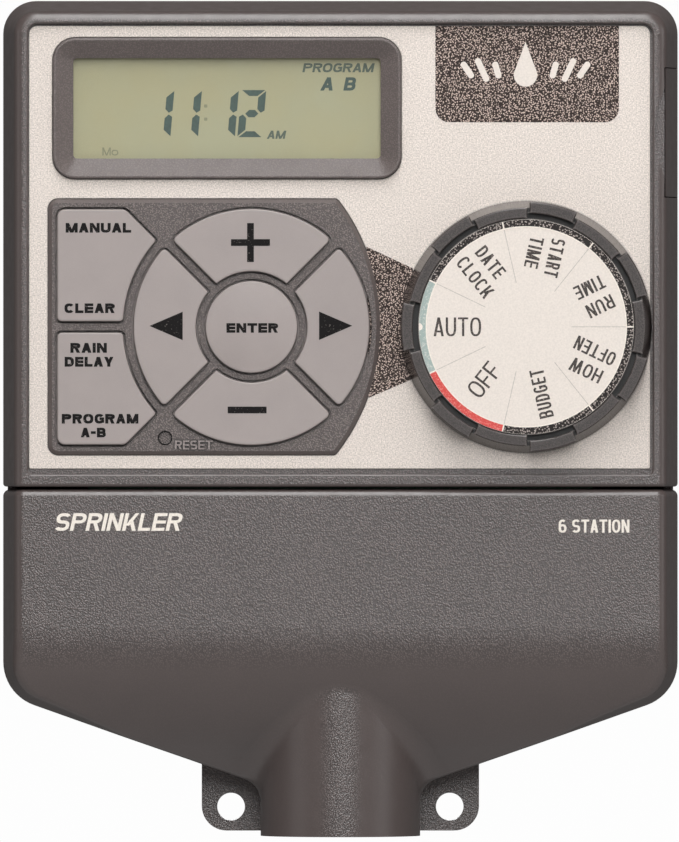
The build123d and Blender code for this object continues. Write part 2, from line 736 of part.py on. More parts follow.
def key_cap(name):
    """A key with its retaining flange. The tall rocking keys stand deeper, to leave room for the tilt."""
    face = KEY_FACES[name]
    rocks = name in ROCKING_KEYS
    back = SIDE_KEY_BACK if rocks else KEY_BACK
    flange_front = SIDE_FLANGE_FRONT if rocks else KEY_FLANGE_FRONT
    cap = slab(face, back, KEY_FRONT)
    if name == "key_enter":
        crown = KEY_FRONT + ENTER_DOME
        ball_r = (ENTER_R**2 + ENTER_DOME**2) / (2 * ENTER_DOME)
        cap = slab(face, back, crown) & (Pos(ENTER_X, ball_r - crown, ENTER_Z) * Sphere(ball_r))
        rim = [edge for edge in cap.edges() if edge.center().Y < -KEY_BACK - 2 and edge.length > ENTER_R]
        cap = fillet(rim, KEY_EDGE_R)
    else:
        cap = fillet(front_edges(cap), KEY_EDGE_R)
    return cap + slab(offset(face, KEY_FLANGE), back, flange_front)


def dome_places():
    """Where the switch domes stand: one under each key, two under each tall key."""
    reach = (RING_R + RING_HOLE_R) / 2
    places = [(ENTER_X, ENTER_Z)]
    places += [(ENTER_X + dx * reach, ENTER_Z + dz * reach) for dx, dz in ((1, 0), (0, 1), (-1, 0), (0, -1))]
    for rise in SIDE_DOME_RISES:
        places += [(SIDE_DOME_X, ENTER_Z + rise), (SIDE_DOME_X, ENTER_Z - rise)]
    return places


def keypad_mat():
    sheet_front = MAIN_BOARD_FRONT + MAT_THICKNESS
    hollow_r = DOME_R - DOME_WALL
    hollow_top_r = DOME_TOP_R - DOME_WALL
    hollow_front = DOME_FRONT - DOME_WALL
    below = MAIN_BOARD_FRONT - 1
    outer = [(0, MAIN_BOARD_FRONT), (DOME_R, MAIN_BOARD_FRONT), (DOME_R, sheet_front)]
    outer += [(DOME_TOP_R, DOME_FRONT), (0, DOME_FRONT)]
    inner = [(0, below), (hollow_r, below), (hollow_r, sheet_front)]
    inner += [(hollow_top_r, hollow_front), (0, hollow_front)]
    mat = slab(offset(pad_outline(), -MAT_INSET), MAIN_BOARD_FRONT, sheet_front)
    mat -= post(RESET_X, RESET_Z, MAT_HOLE_R, below, sheet_front + 1)
    for x, z in dome_places():
        mat += turned(x, z, outer)
        mat -= turned(x, z, inner)
    return mat


def reset_button():
    stem = post(RESET_X, RESET_Z, BUTTON_R, BUTTON_BACK, BUTTON_FRONT)
    return stem + post(RESET_X, RESET_Z, COLLAR_R, COLLAR_BACK, COLLAR_FRONT)


def reset_switch():
    case = brick((RESET_X, RESET_Z), RESET_SWITCH_W, RESET_SWITCH_H, MAIN_BOARD_FRONT, RESET_SWITCH_FRONT)
    return case + post(RESET_X, RESET_Z, PLUNGER_R, RESET_SWITCH_FRONT, PLUNGER_FRONT)


# ---- dial and rotary switch ----
def wedge(angle, spread):
    """A long triangle from the dial's centre, spread degrees wide about angle."""
    edges = [math.radians(angle + side * spread / 2) for side in (-1, 1)]
    tips = [(60 * math.cos(edge), 60 * math.sin(edge)) for edge in edges]
    return make_face(Polyline((0, 0), tips[0], tips[1], close=True))


def dial_sector(inner_r, outer_r, angle, spread):
    ring = Circle(outer_r) - Circle(inner_r)
    return Pos(DIAL_X, DIAL_Z) * (ring & wedge(angle, spread))


def shaft_face():
    flat = Pos(SHAFT_R * 1.75, 0) * Rectangle(2 * SHAFT_R, 2 * SHAFT_R)
    return Pos(DIAL_X, DIAL_Z) * (Circle(SHAFT_R) - flat)


def dial_knob():
    """The knob: a cone with a seat for the label, and ribs and pads in turn round its rim."""
    seat = LABEL_FRONT - LABEL_THICKNESS
    outer = [(0, DIAL_BACK), (DIAL_BASE_R, DIAL_BACK), (DIAL_TOP_R, LEDGE_DEPTH), (RIB_INNER_R, LEDGE_DEPTH)]
    outer += [(RIB_INNER_R, GROOVE_FLOOR), (DIAL_RING_R, GROOVE_FLOOR), (DIAL_RING_R, seat), (0, seat)]
    knob = turned(DIAL_X, DIAL_Z, outer)
    cavity_r = DIAL_TOP_R - DIAL_WALL
    cavity = [(HUB_R, DIAL_BACK - 1), (DIAL_BASE_R - DIAL_WALL, DIAL_BACK - 1)]
    cavity += [(cavity_r, DIAL_CAVITY_FRONT), (HUB_R, DIAL_CAVITY_FRONT)]
    knob -= turned(DIAL_X, DIAL_Z, cavity)
    step = 360 / DIAL_POSITIONS
    for index in range(DIAL_POSITIONS):
        angle = 180 - index * step
        rib = slab(dial_sector(RIB_INNER_R, RIB_OUTER_R, angle, RIB_DEG), RIB_BACK, DIAL_FRONT)
        pad_deg = step - RIB_DEG - 2 * NOTCH_DEG
        pad = slab(dial_sector(DIAL_RING_R, DIAL_TOP_R, angle + step / 2, pad_deg), GROOVE_FLOOR, DIAL_FRONT)
        knob += fillet(front_edges(rib), GRIP_EDGE_R)
        knob += fillet(front_edges(pad), GRIP_EDGE_R)
    return knob - slab(shaft_face(), DIAL_BACK - 1, DIAL_CAVITY_FRONT)


def dial_label():
    return post(DIAL_X, DIAL_Z, LABEL_R, LABEL_FRONT - LABEL_THICKNESS, LABEL_FRONT)


def dial_shaft():
    """The round shaft with its rotor disc in the switch and its flat in the knob."""
    shaft = post(DIAL_X, DIAL_Z, SHAFT_R, SHAFT_BACK, DIAL_BACK)
    shaft += slab(shaft_face(), DIAL_BACK, DIAL_CAVITY_FRONT)
    return shaft + post(DIAL_X, DIAL_Z, ROTOR_R, ROTOR_BACK, ROTOR_FRONT)


def switch_wiper():
    front = ROTOR_FRONT + WIPER_THICKNESS
    profile = [(SHAFT_R, ROTOR_FRONT), (WIPER_R, ROTOR_FRONT), (WIPER_R, front), (SHAFT_R, front)]
    return turned(DIAL_X, DIAL_Z, profile)


def rotary_switch_body():
    bore = SHAFT_R + SHAFT_RUNNING_GAP
    inner = SWITCH_R - SWITCH_RIM
    floor = MAIN_BOARD_FRONT + SWITCH_WALL
    lid = SWITCH_FRONT - SWITCH_WALL
    profile = [(0, MAIN_BOARD_FRONT), (SWITCH_R, MAIN_BOARD_FRONT), (SWITCH_R, SWITCH_FRONT)]
    profile += [(bore, SWITCH_FRONT), (bore, lid), (inner, lid), (inner, floor), (0, floor)]
    return turned(DIAL_X, DIAL_Z, profile)


def detent_spring():
    return slab(dial_sector(SPRING_INNER_R, SPRING_OUTER_R, 90, SPRING_SPREAD_DEG), SHAFT_BACK, SPRING_FRONT)


# ---- main board and what is on it ----
def main_board():
    face = make_face(Polyline(*MAIN_BOARD_CORNERS, close=True))
    for x, z in MAIN_BOARD_FIXINGS:
        face -= Pos(x, z) * Circle(BOARD_SCREW_R + BOARD_HOLE_GAP)
    return slab(face, MAIN_BOARD_BACK, MAIN_BOARD_FRONT)


def microcontroller():
    return brick(CHIP_PLACE, CHIP_SIDE, CHIP_SIDE, MAIN_BOARD_BACK - CHIP_HEIGHT, MAIN_BOARD_BACK)


def quartz_crystal():
    can = framed(*CRYSTAL_PLACE, CRYSTAL_W, CRYSTAL_H, CRYSTAL_W / 2 - 0.05)
    return slab(can, MAIN_BOARD_BACK - CRYSTAL_HEIGHT, MAIN_BOARD_BACK)


def main_board_capacitors():
    cans = [post(x, CAN_Z, CAN_R, MAIN_BOARD_BACK - CAN_HEIGHT, MAIN_BOARD_BACK) for x in CAN_XS]
    return Part() + cans


def battery_guide():
    """The box behind the face that the drawer slides in, open to the front and to the right."""
    half = TRAY_HALF_H + GUIDE_SLACK
    outer = half + GUIDE_WALL
    guide = block(GUIDE_LEFT, GUIDE_RIGHT, CELL_Z - outer, CELL_Z + outer, GUIDE_BACK, INNER_FACE_DEPTH)
    inside = block(
        GUIDE_LEFT + GUIDE_WALL, GUIDE_RIGHT + 1, CELL_Z - half, CELL_Z + half,
        GUIDE_BACK + GUIDE_WALL, INNER_FACE_DEPTH + 1,
    )
    return guide - inside


def battery_contact(back):
    foot = CELL_Z - CONTACT_HALF_W
    top = CELL_Z + CONTACT_HALF_W
    return block(CONTACT_LEFT, CONTACT_RIGHT, foot, top, back, back + CONTACT_THICKNESS)


def battery_tray():
    left = DRAWER_LEFT + DRAWER_GAP
    foot = DRAWER_FOOT + DRAWER_GAP
    top = DRAWER_TOP - DRAWER_GAP
    cap = housing_form() & block(left, WIDTH, foot, top, DRAFT_FOOT_DEPTH, FRONT_DEPTH + 1)
    tray = block(TRAY_INNER_X, left, CELL_Z - TRAY_HALF_H, CELL_Z + TRAY_HALF_H, TRAY_BACK, TRAY_FRONT)
    tray -= post(CELL_X, CELL_Z, CELL_R + CELL_GAP, TRAY_BACK + TRAY_FLOOR, TRAY_FRONT + 1)
    tray -= post(CELL_X, CELL_Z, CELL_PEEP_R, TRAY_BACK - 1, TRAY_BACK + TRAY_FLOOR + 1)
    return cap + tray


def coin_cell():
    back = TRAY_BACK + TRAY_FLOOR
    return post(CELL_X, CELL_Z, CELL_R, back, back + CELL_THICKNESS)


# ---- driver board and what is on it ----
def driver_board():
    face = Pos(*DRIVER_BOARD_PLACE) * Rectangle(DRIVER_BOARD_W, DRIVER_BOARD_H)
    for x, z in DRIVER_BOARD_FIXINGS:
        face -= Pos(x, z) * Circle(DRIVER_SCREW_R + BOARD_HOLE_GAP)
    return slab(face, DRIVER_BOARD_BACK, DRIVER_BOARD_FRONT)


def terminal_places():
    middle = (TERMINALS - 1) / 2
    return [(index - middle) * TERMINAL_PITCH for index in range(TERMINALS)]


def terminal_block():
    half = TERMINALS * TERMINAL_PITCH / 2 + TERMINAL_END
    body = block(-half, half, TERMINAL_FOOT, TERMINAL_TOP, DRIVER_BOARD_FRONT, TERMINAL_FRONT)
    for x in terminal_places():
        body -= post(x, TERMINAL_WELL_Z, WELL_R, TERMINAL_FRONT - WELL_DEPTH, TERMINAL_FRONT + 1)
        body -= post(x, TERMINAL_WELL_Z, BORE_R, BORE_BACK, TERMINAL_FRONT)
        body -= block(x - CAGE_W / 2, x + CAGE_W / 2, TERMINAL_FOOT - 1, CAGE_TOP, CAGE_BACK, CAGE_FRONT)
    return body


def terminal_screws():
    screws = []
    for x in terminal_places():
        head = post(x, TERMINAL_WELL_Z, TERMINAL_HEAD_R, TERMINAL_HEAD_BACK, TERMINAL_HEAD_FRONT)
        slot_floor = TERMINAL_HEAD_FRONT - DRIVE_SLOT_DEPTH
        head -= brick((x, TERMINAL_WELL_Z), 3 * TERMINAL_HEAD_R, DRIVE_SLOT_W, slot_floor, TERMINAL_FRONT)
        screws.append(head + post(x, TERMINAL_WELL_Z, TERMINAL_SHANK_R, CLAMP_FRONT, TERMINAL_HEAD_BACK))
    return Part() + screws


def terminal_clamps():
    half = CLAMP_W / 2
    places = terminal_places()
    plates = [block(x - half, x + half, CLAMP_FOOT, CLAMP_TOP, CLAMP_BACK, CLAMP_FRONT) for x in places]
    return Part() + plates


def triacs():
    middle = (TRIACS - 1) / 2
    back = DRIVER_BOARD_FRONT + TRIAC_LIFT
    outline = Circle(TRIAC_R) - Pos(0, -TRIAC_FLAT - TRIAC_R) * Rectangle(3 * TRIAC_R, 2 * TRIAC_R)
    cans = []
    for index in range(TRIACS):
        x = (index - middle) * TRIAC_PITCH
        can = slab(Pos(x, TRIAC_Z) * outline, back, back + TRIAC_LENGTH)
        for lead in (-LEAD_PITCH, 0, LEAD_PITCH):
            can += post(x + lead, TRIAC_Z, LEAD_R, DRIVER_BOARD_FRONT, back)
        cans.append(can)
    return Part() + cans


def varistor():
    x, z = VARISTOR_PLACE
    disc = Pos(x, -DRIVER_BOARD_FRONT - VARISTOR_RISE, z) * Cylinder(VARISTOR_R, VARISTOR_THICKNESS)
    for side in (-1, 1):
        lead_front = DRIVER_BOARD_FRONT + VARISTOR_RISE / 2
        disc += post(x + side * VARISTOR_LEAD_SPREAD, z, VARISTOR_LEAD_R, DRIVER_BOARD_FRONT, lead_front)
    return disc


def filter_capacitor():
    can = post(*FILTER_PLACE, FILTER_R, DRIVER_BOARD_FRONT, FILTER_FRONT)
    return fillet(front_edges(can), FILTER_EDGE_R)


def rectifier_diodes():
    diodes = []
    for x in DIODE_XS:
        body = Pos(x, -DRIVER_BOARD_FRONT - DIODE_RISE, DIODE_Z) * Cylinder(DIODE_R, DIODE_LENGTH)
        for side in (-1, 1):
            place = (x, DIODE_Z + side * DIODE_LEAD_REACH)
            lead_front = DRIVER_BOARD_FRONT + DIODE_LEAD_RISE
            body += brick(place, DIODE_LEAD_W, DIODE_LEAD_LENGTH, DRIVER_BOARD_FRONT, lead_front)
        diodes.append(body)
    return Part() + diodes


def fuse_bar(length):
    """A round bar on the fuse's axis."""
    x, z = FUSE_PLACE
    return Pos(x, -DRIVER_BOARD_FRONT - FUSE_RISE, z) * Rot(0, 90, 0) * Cylinder(FUSE_R, length)


def fuse():
    return fuse_bar(FUSE_LENGTH)


def fuse_clips():
    x, z = FUSE_PLACE
    front = DRIVER_BOARD_FRONT + CLIP_HEIGHT
    clips = [brick((x + side * CLIP_REACH, z), CLIP_W, CLIP_H, DRIVER_BOARD_FRONT, front) for side in (-1, 1)]
    return Part() + clips - fuse_bar(2 * FUSE_LENGTH)


def voltage_regulator():
    x, z = REGULATOR_PLACE
    back = DRIVER_BOARD_FRONT + REGULATOR_LIFT
    case = brick((x, z), REGULATOR_W, REGULATOR_THICKNESS, back, REGULATOR_FRONT)
    for lead in (-REGULATOR_LEAD_PITCH, 0, REGULATOR_LEAD_PITCH):
        case += brick((x + lead, z), REGULATOR_LEAD_W, REGULATOR_LEAD_THICKNESS, DRIVER_BOARD_FRONT, back)
    return case


def ribbon_headers():
    main_back = MAIN_BOARD_BACK - HEADER_HEIGHT
    driver_front = DRIVER_BOARD_FRONT + HEADER_HEIGHT
    main = brick((HEADER_X, MAIN_HEADER_Z), HEADER_W, HEADER_H, main_back, MAIN_BOARD_BACK)
    driver = brick((HEADER_X, DRIVER_HEADER_Z), HEADER_W, HEADER_H, DRIVER_BOARD_FRONT, driver_front)
    return Part() + [main, driver]


def ribbon_cable():
    """The flat cable between the two headers, with one bend at each end."""
    start = HEADER_HEIGHT - MAIN_BOARD_BACK
    end = -(DRIVER_BOARD_FRONT + HEADER_HEIGHT)
    points = [(start, MAIN_HEADER_Z), (start + RIBBON_STRAIGHT, MAIN_HEADER_Z)]
    points += [(end - RIBBON_STRAIGHT, DRIVER_HEADER_Z), (end, DRIVER_HEADER_Z)]
    strip = trace(FilletPolyline(*points, radius=RIBBON_BEND_R), RIBBON_THICKNESS)
    return Pos(HEADER_X, 0, 0) * extrude(Plane.YZ * strip, RIBBON_W / 2, both=True)


# ---- fasteners ----
def screw(place, shank_r, head_r, head_back, head_h, length, points_outward):
    """A flat-headed screw, its shank on the head's front or on its back."""
    x, z = place
    head = post(x, z, head_r, head_back, head_back + head_h)
    tip = head_back + head_h if points_outward else head_back - length
    return head + post(x, z, shank_r, tip, tip + length)


def screws(places, *sizes):
    return Part() + [screw(place, *sizes) for place in places]


def housing_screws():
    places = both_sides([UPPER_BOSS, LOWER_BOSS])
    head_back = SCREW_SEAT_DEPTH - SCREW_HEAD_H
    return screws(places, HOUSING_SCREW_R, SCREW_HEAD_R, head_back, SCREW_HEAD_H, HOUSING_SCREW_LENGTH, True)


def main_board_screws():
    head_back = MAIN_BOARD_BACK - BOARD_HEAD_H
    sizes = (BOARD_SCREW_R, BOARD_HEAD_R, head_back, BOARD_HEAD_H, BOARD_SCREW_LENGTH, True)
    return screws(MAIN_BOARD_FIXINGS, *sizes)


def driver_board_screws():
    sizes = (DRIVER_SCREW_R, DRIVER_HEAD_R, DRIVER_BOARD_FRONT, BOARD_HEAD_H, DRIVER_SCREW_LENGTH, False)
    return screws(DRIVER_BOARD_FIXINGS, *sizes)


PARTS = {
    "back_plate": back_plate,
    "front_housing": front_housing,
    "lower_cover": lower_cover,
    "faceplate_film": film,
    "display_bezel": display_bezel,
    "display_lens": display_lens,
    "lcd_glass": lcd_glass,
    "lcd_holder": lcd_holder,
    "lcd_connector_strips": lcd_connector_strips,
    "keypad_plate": keypad_plate,
    "keypad_mat": keypad_mat,
    "reset_button": reset_button,
    "reset_switch": reset_switch,
    "dial_knob": dial_knob,
    "dial_label": dial_label,
    "dial_shaft": dial_shaft,
    "switch_wiper": switch_wiper,
    "rotary_switch_body": rotary_switch_body,
    "detent_spring": detent_spring,
    "main_board": main_board,
    "microcontroller": microcontroller,
    "quartz_crystal": quartz_crystal,
    "main_board_capacitors": main_board_capacitors,
    "battery_guide": battery_guide,
    "battery_tray": battery_tray,
    "coin_cell": coin_cell,
    "driver_board": driver_board,
    "terminal_block": terminal_block,
    "terminal_screws": terminal_screws,
    "terminal_clamps": terminal_clamps,
    "triacs": triacs,
    "varistor": varistor,
    "filter_capacitor": filter_capacitor,
    "rectifier_diodes": rectifier_diodes,
    "fuse": fuse,
    "fuse_clips": fuse_clips,
    "voltage_regulator": voltage_regulator,
    "ribbon_headers": ribbon_headers,
    "ribbon_cable": ribbon_cable,
    "housing_screws": housing_screws,
    "main_board_screws": main_board_screws,
    "driver_board_screws": driver_board_screws,
}


os.makedirs("parts", exist_ok=True)
for part_name, make in PARTS.items():
    save(part_name, make())
for key_name in KEY_FACES:
    save(key_name, key_cap(key_name))
save("battery_contact_negative", battery_contact(GUIDE_BACK + GUIDE_WALL))
save("battery_contact_positive", battery_contact(INNER_FACE_DEPTH - CONTACT_THICKNESS))
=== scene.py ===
import json
import math

import bmesh
import bpy
from mathutils import Matrix, Vector


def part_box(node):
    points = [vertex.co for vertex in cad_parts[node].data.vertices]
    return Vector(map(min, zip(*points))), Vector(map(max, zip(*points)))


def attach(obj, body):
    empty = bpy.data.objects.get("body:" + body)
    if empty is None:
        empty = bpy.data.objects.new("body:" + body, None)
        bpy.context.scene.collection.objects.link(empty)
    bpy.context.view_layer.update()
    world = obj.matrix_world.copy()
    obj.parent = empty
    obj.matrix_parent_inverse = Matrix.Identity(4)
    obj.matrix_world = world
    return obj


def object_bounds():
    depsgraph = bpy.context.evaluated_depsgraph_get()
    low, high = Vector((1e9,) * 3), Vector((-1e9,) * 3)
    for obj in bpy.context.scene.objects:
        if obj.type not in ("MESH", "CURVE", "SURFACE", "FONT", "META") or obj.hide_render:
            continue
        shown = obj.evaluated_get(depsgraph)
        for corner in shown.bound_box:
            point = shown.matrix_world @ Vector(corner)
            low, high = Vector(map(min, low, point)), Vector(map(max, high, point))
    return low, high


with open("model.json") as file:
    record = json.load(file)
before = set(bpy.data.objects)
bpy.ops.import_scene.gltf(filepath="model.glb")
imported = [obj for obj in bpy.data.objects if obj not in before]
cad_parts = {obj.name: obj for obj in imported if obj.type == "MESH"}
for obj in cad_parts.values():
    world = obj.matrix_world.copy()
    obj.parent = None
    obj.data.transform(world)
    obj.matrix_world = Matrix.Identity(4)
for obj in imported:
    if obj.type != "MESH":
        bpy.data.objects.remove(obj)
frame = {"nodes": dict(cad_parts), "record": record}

cad_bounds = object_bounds()

# Sizes on the front are in millimetres, x to the right and z up. A depth is the distance out from the wall.
MM = 0.001
PRINT_THICKNESS = 0.03
STROKE_STEP = 0.004


# ---------------------------------------------------------------- places
def middle(node):
    """(x, z) of a node's middle, in millimetres."""
    low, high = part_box(node)
    return (low.x + high.x) / 2 / MM, (low.z + high.z) / 2 / MM


def front(node):
    """The depth of a node's foremost point, in millimetres."""
    return -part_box(node)[0].y / MM


ENTER = middle("key_enter")
DISPLAY = middle("lcd_glass")
DIAL = middle("dial_knob")
KEY_FRONT = front("key_plus")
PLATE_FRONT = front("keypad_plate")
FILM_FRONT = front("faceplate_film")
LABEL_FRONT = front("dial_label")
GLASS_FRONT = front("lcd_glass")
COVER_FRONT = front("lower_cover")
FILM_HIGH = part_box("faceplate_film")[1] / MM
COVER_LOW, COVER_HIGH = (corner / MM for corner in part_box("lower_cover"))


# ---------------------------------------------------------------- materials
OCCLUSION_SAMPLES = 6


class Shader:
    """A material with one Principled shader, and short calls for the nodes behind it."""

    def __init__(self, name, colour, roughness, **values):
        self.material = bpy.data.materials.new(name)
        self.material.use_nodes = True
        self.tree = self.material.node_tree
        self.surface = self.tree.nodes["Principled BSDF"]
        self.colour = (*colour, 1.0)
        self.set("Base Color", self.colour)
        self.set("Roughness", roughness)
        for socket, value in values.items():
            self.set(socket.replace("_", " ").title().replace("Ior", "IOR"), value)
        self.place = self.node("ShaderNodeTexCoord").outputs["Object"]

    def set(self, socket, value):
        if isinstance(value, bpy.types.NodeSocket):
            self.tree.links.new(value, self.surface.inputs[socket])
        else:
            self.surface.inputs[socket].default_value = value

    def node(self, kind, settings=None, **inputs):
        node = self.tree.nodes.new(kind)
        for key, value in (settings or {}).items():
            setattr(node, key, value)
        for key, value in inputs.items():
            socket = node.inputs[int(key[2:])] if key.startswith("at") else node.inputs[key.replace("_", " ")]
            if isinstance(value, bpy.types.NodeSocket):
                self.tree.links.new(value, socket)
            else:
                socket.default_value = value
        return node

    def noise(self, size_mm, detail=2.0, roughness=0.5, stretch=None):
        """A noise between 0 and 1 whose blobs are about size_mm across."""
        place = self.place
        if stretch:
            place = self.node("ShaderNodeMapping", Vector=place, Scale=stretch).outputs["Vector"]
        scale = 1 / (size_mm * MM)
        node = self.node("ShaderNodeTexNoise", Vector=place, Scale=scale, Detail=detail, Roughness=roughness)
        return node.outputs["Fac"]

    def pebbles(self, size_mm):
        """Evenly spread small domes about size_mm apart: 1 at their tops, 0 between them."""
        node = self.node("ShaderNodeTexVoronoi", Vector=self.place, Scale=1 / (size_mm * MM))
        return self.spread(node.outputs["Distance"], 1.0, 0.0, 0.1, 0.75)

    def spread(self, value, low, high, from_low=0.0, from_high=1.0):
        """The value mapped from one range to another, and kept inside it."""
        node = self.node("ShaderNodeMapRange", at0=value, at1=from_low, at2=from_high, at3=low, at4=high)
        return node.outputs["Result"]

    def maths(self, operation, a, b=0.0):
        return self.node("ShaderNodeMath", {"operation": operation}, at0=a, at1=b).outputs["Value"]

    def blend(self, share, a, b, mode="MIX"):
        node = self.tree.nodes.new("ShaderNodeMix")
        node.data_type = "RGBA"
        node.blend_type = mode
        for index, value in ((0, share), (6, a), (7, b)):
            if isinstance(value, bpy.types.NodeSocket):
                self.tree.links.new(value, node.inputs[index])
            else:
                node.inputs[index].default_value = value
        return node.outputs[2]

    def shade(self, factor, colour=None):
        """The colour times a grey factor."""
        grey = self.node("ShaderNodeCombineColor", Red=factor, Green=factor, Blue=factor).outputs["Color"]
        return self.blend(1.0, self.colour if colour is None else colour, grey, "MULTIPLY")

    def flatness(self, start=0.96, full=0.998):
        """1 on faces parallel to the wall, falling to 0 on curved and side faces."""
        normal = self.node("ShaderNodeNewGeometry").outputs["Normal"]
        out = self.node("ShaderNodeSeparateXYZ", Vector=normal).outputs["Y"]
        return self.spread(self.maths("ABSOLUTE", out), 0.0, 1.0, start, full)

    def gap_shade(self, reach_mm, darkest):
        """A painted shade factor that falls to darkest in narrow gaps and inside corners."""
        node = self.node("ShaderNodeAmbientOcclusion", {"samples": OCCLUSION_SAMPLES}, Distance=reach_mm * MM)
        return self.spread(node.outputs["AO"], darkest, 1.0, 0.5, 0.95)

    def edge_highlight(self, reach_mm):
        """1 along the piece's own outside edges, and 0 away from them: a mask for a painted highlight."""
        settings = {"samples": OCCLUSION_SAMPLES, "inside": True, "only_local": True}
        node = self.node("ShaderNodeAmbientOcclusion", settings, Distance=reach_mm * MM)
        return self.spread(node.outputs["AO"], 1.0, 0.0, 0.55, 0.85)

    def bump(self, height, distance_mm, strength=1.0):
        node = self.node("ShaderNodeBump", Strength=strength, Distance=distance_mm * MM, Height=height)
        self.set("Normal", node.outputs["Normal"])


def textured_plastic(name, colour, roughness, grain_mm, relief_mm, contrast, side_share,
                     wall_shade=1.0, gap_shade_mm=0.0, **values):
    """Moulded plastic with a spark-eroded grain on its front faces and less of it on its sides.
    wall_shade is painted shade on upright walls, and gap_shade_mm is how far painted shade reaches out of
    gaps."""
    shader = Shader(name, colour, roughness, **values)
    grain = shader.pebbles(grain_mm)
    amount = shader.spread(shader.flatness(), side_share, 1.0)
    pebble = shader.spread(grain, -contrast * 0.5, contrast, 0.3, 0.95)
    cloud = shader.spread(shader.noise(14.0, 3.0), -0.03, 0.03, 0.3, 0.7)
    fine = shader.maths("MULTIPLY", pebble, amount)
    factor = shader.maths("ADD", shader.maths("ADD", fine, cloud), 1.0)
    # Painted shade: upright walls are darkened to wall_shade, and narrow gaps are darkened further.
    painted_shade = shader.spread(shader.flatness(0.1, 0.5), wall_shade, 1.0)
    if gap_shade_mm:
        painted_shade = shader.maths("MULTIPLY", painted_shade, shader.gap_shade(gap_shade_mm, 0.12))
    shader.set("Base Color", shader.shade(shader.maths("MULTIPLY", factor, painted_shade)))
    gloss = shader.noise(3.0, 3.0)
    shader.set("Roughness", shader.spread(gloss, roughness - 0.04, roughness + 0.04, 0.3, 0.7))
    shader.bump(grain, relief_mm, amount)
    return shader.material


def housing_plastic():
    colour = (0.08, 0.061, 0.057)
    return textured_plastic("housing_plastic", colour, 0.36, 0.42, 0.05, 0.75, 0.12, specular_ior_level=0.8)


def bezel_plastic():
    return textured_plastic("bezel_plastic", (0.135, 0.11, 0.104), 0.42, 0.4, 0.04, 0.35, 0.9)


def plate_plastic():
    colour = (0.125, 0.102, 0.096)
    # wall_shade and gap_shade_mm paint shade on the plate's walls and in the gaps round its keys.
    return textured_plastic("plate_plastic", colour, 0.46, 0.4, 0.06, 0.7, 0.2, wall_shade=0.2, gap_shade_mm=0.7)


def raised_plastic():
    """The keypad plate's plastic, lighter on the tops of its raised letters as a painted highlight, with
    painted shade on their walls.
    """
    return textured_plastic("raised_plastic", (0.24, 0.2, 0.19), 0.36, 0.45, 0.02, 0.3, 0.2, wall_shade=0.1)


def printed_film():
    """A beige metallic film with a fine pebbled print."""
    shader = Shader("printed_film", (0.67, 0.6, 0.547), 0.44, metallic=0.2)
    pebble = shader.noise(0.34, 1.0, 0.5)
    factor = shader.spread(pebble, 0.7, 1.16, 0.3, 0.7)
    # Painted shade darkens the film in narrow gaps and inside corners next to other parts.
    shader.set("Base Color", shader.shade(shader.maths("MULTIPLY", factor, shader.gap_shade(0.6, 0.3))))
    shader.set("Roughness", shader.spread(shader.noise(0.9, 2.0), 0.36, 0.5, 0.3, 0.7))
    shader.bump(pebble, 0.035)
    return shader.material


def badge_ink():
    """Dark brown ink with a painted highlight on the tops of the film's pebbles."""
    shader = Shader("badge_ink", (0.022, 0.012, 0.009), 0.55, specular_ior_level=0.3)
    pebble = shader.pebbles(0.42)
    painted_highlight = shader.spread(pebble, 0.0, 1.0, 0.4, 0.7)
    shader.set("Base Color", shader.blend(painted_highlight, shader.colour, (0.6, 0.47, 0.41, 1.0)))
    shader.bump(pebble, 0.06)
    return shader.material


def satin_key():
    shader = Shader("satin_key", (0.33, 0.285, 0.272), 0.44)
    skin = shader.noise(0.25, 2.0, 0.6)
    cloud = shader.noise(9.0, 3.0)
    mottle = shader.maths("ADD", shader.maths("MULTIPLY", skin, 0.5), cloud)
    factor = shader.spread(mottle, 0.92, 1.02, 0.5, 1.0)
    # Painted shade: the key's side walls and fillets are darkened.
    painted_shade = shader.spread(shader.flatness(0.4, 0.85), 0.16, 1.0)
    shader.set("Base Color", shader.shade(shader.maths("MULTIPLY", factor, painted_shade)))
    shader.set("Roughness", shader.spread(cloud, 0.38, 0.5, 0.3, 0.7))
    shader.bump(skin, 0.004)
    return shader.material


def key_ink():
    """Black ink with small worn specks."""
    shader = Shader("key_ink", (0.008, 0.007, 0.007), 0.7, specular_ior_level=0.15)
    specks = shader.spread(shader.noise(0.4, 1.0), 0.0, 1.0, 0.68, 0.76)
    shader.set("Base Color", shader.blend(specks, shader.colour, (0.16, 0.14, 0.13, 1.0)))
    shader.bump(shader.noise(0.3, 2.0), 0.004)
    return shader.material


def white_ink():
    shader = Shader("white_ink", (0.83, 0.76, 0.68), 0.55)
    shader.set("Base Color", shader.shade(shader.spread(shader.noise(0.5, 2.0), 0.9, 1.05, 0.3, 0.7)))
    shader.bump(shader.noise(0.4, 2.0), 0.008)
    return shader.material


def lcd_face():
    """The display's greenish reflector, a little uneven."""
    shader = Shader("lcd_face", (0.352, 0.328, 0.182), 0.45, specular_ior_level=0.25)
    cloud = shader.noise(18.0, 3.0)
    share = shader.spread(cloud, 0.0, 1.0, 0.35, 0.65)
    greener = shader.blend(share, shader.colour, (0.342, 0.334, 0.202, 1.0))
    fine = shader.spread(shader.noise(0.5, 2.0), 0.985, 1.015, 0.3, 0.7)
    shader.set("Base Color", shader.shade(fine, greener))
    shader.bump(shader.noise(0.4), 0.003)
    return shader.material


def lcd_ink(name, colour):
    shader = Shader(name, colour, 0.5, specular_ior_level=0.2)
    shader.set("Base Color", shader.shade(shader.spread(shader.noise(0.8, 2.0), 0.85, 1.15, 0.3, 0.7)))
    shader.bump(shader.noise(0.5), 0.003)
    return shader.material


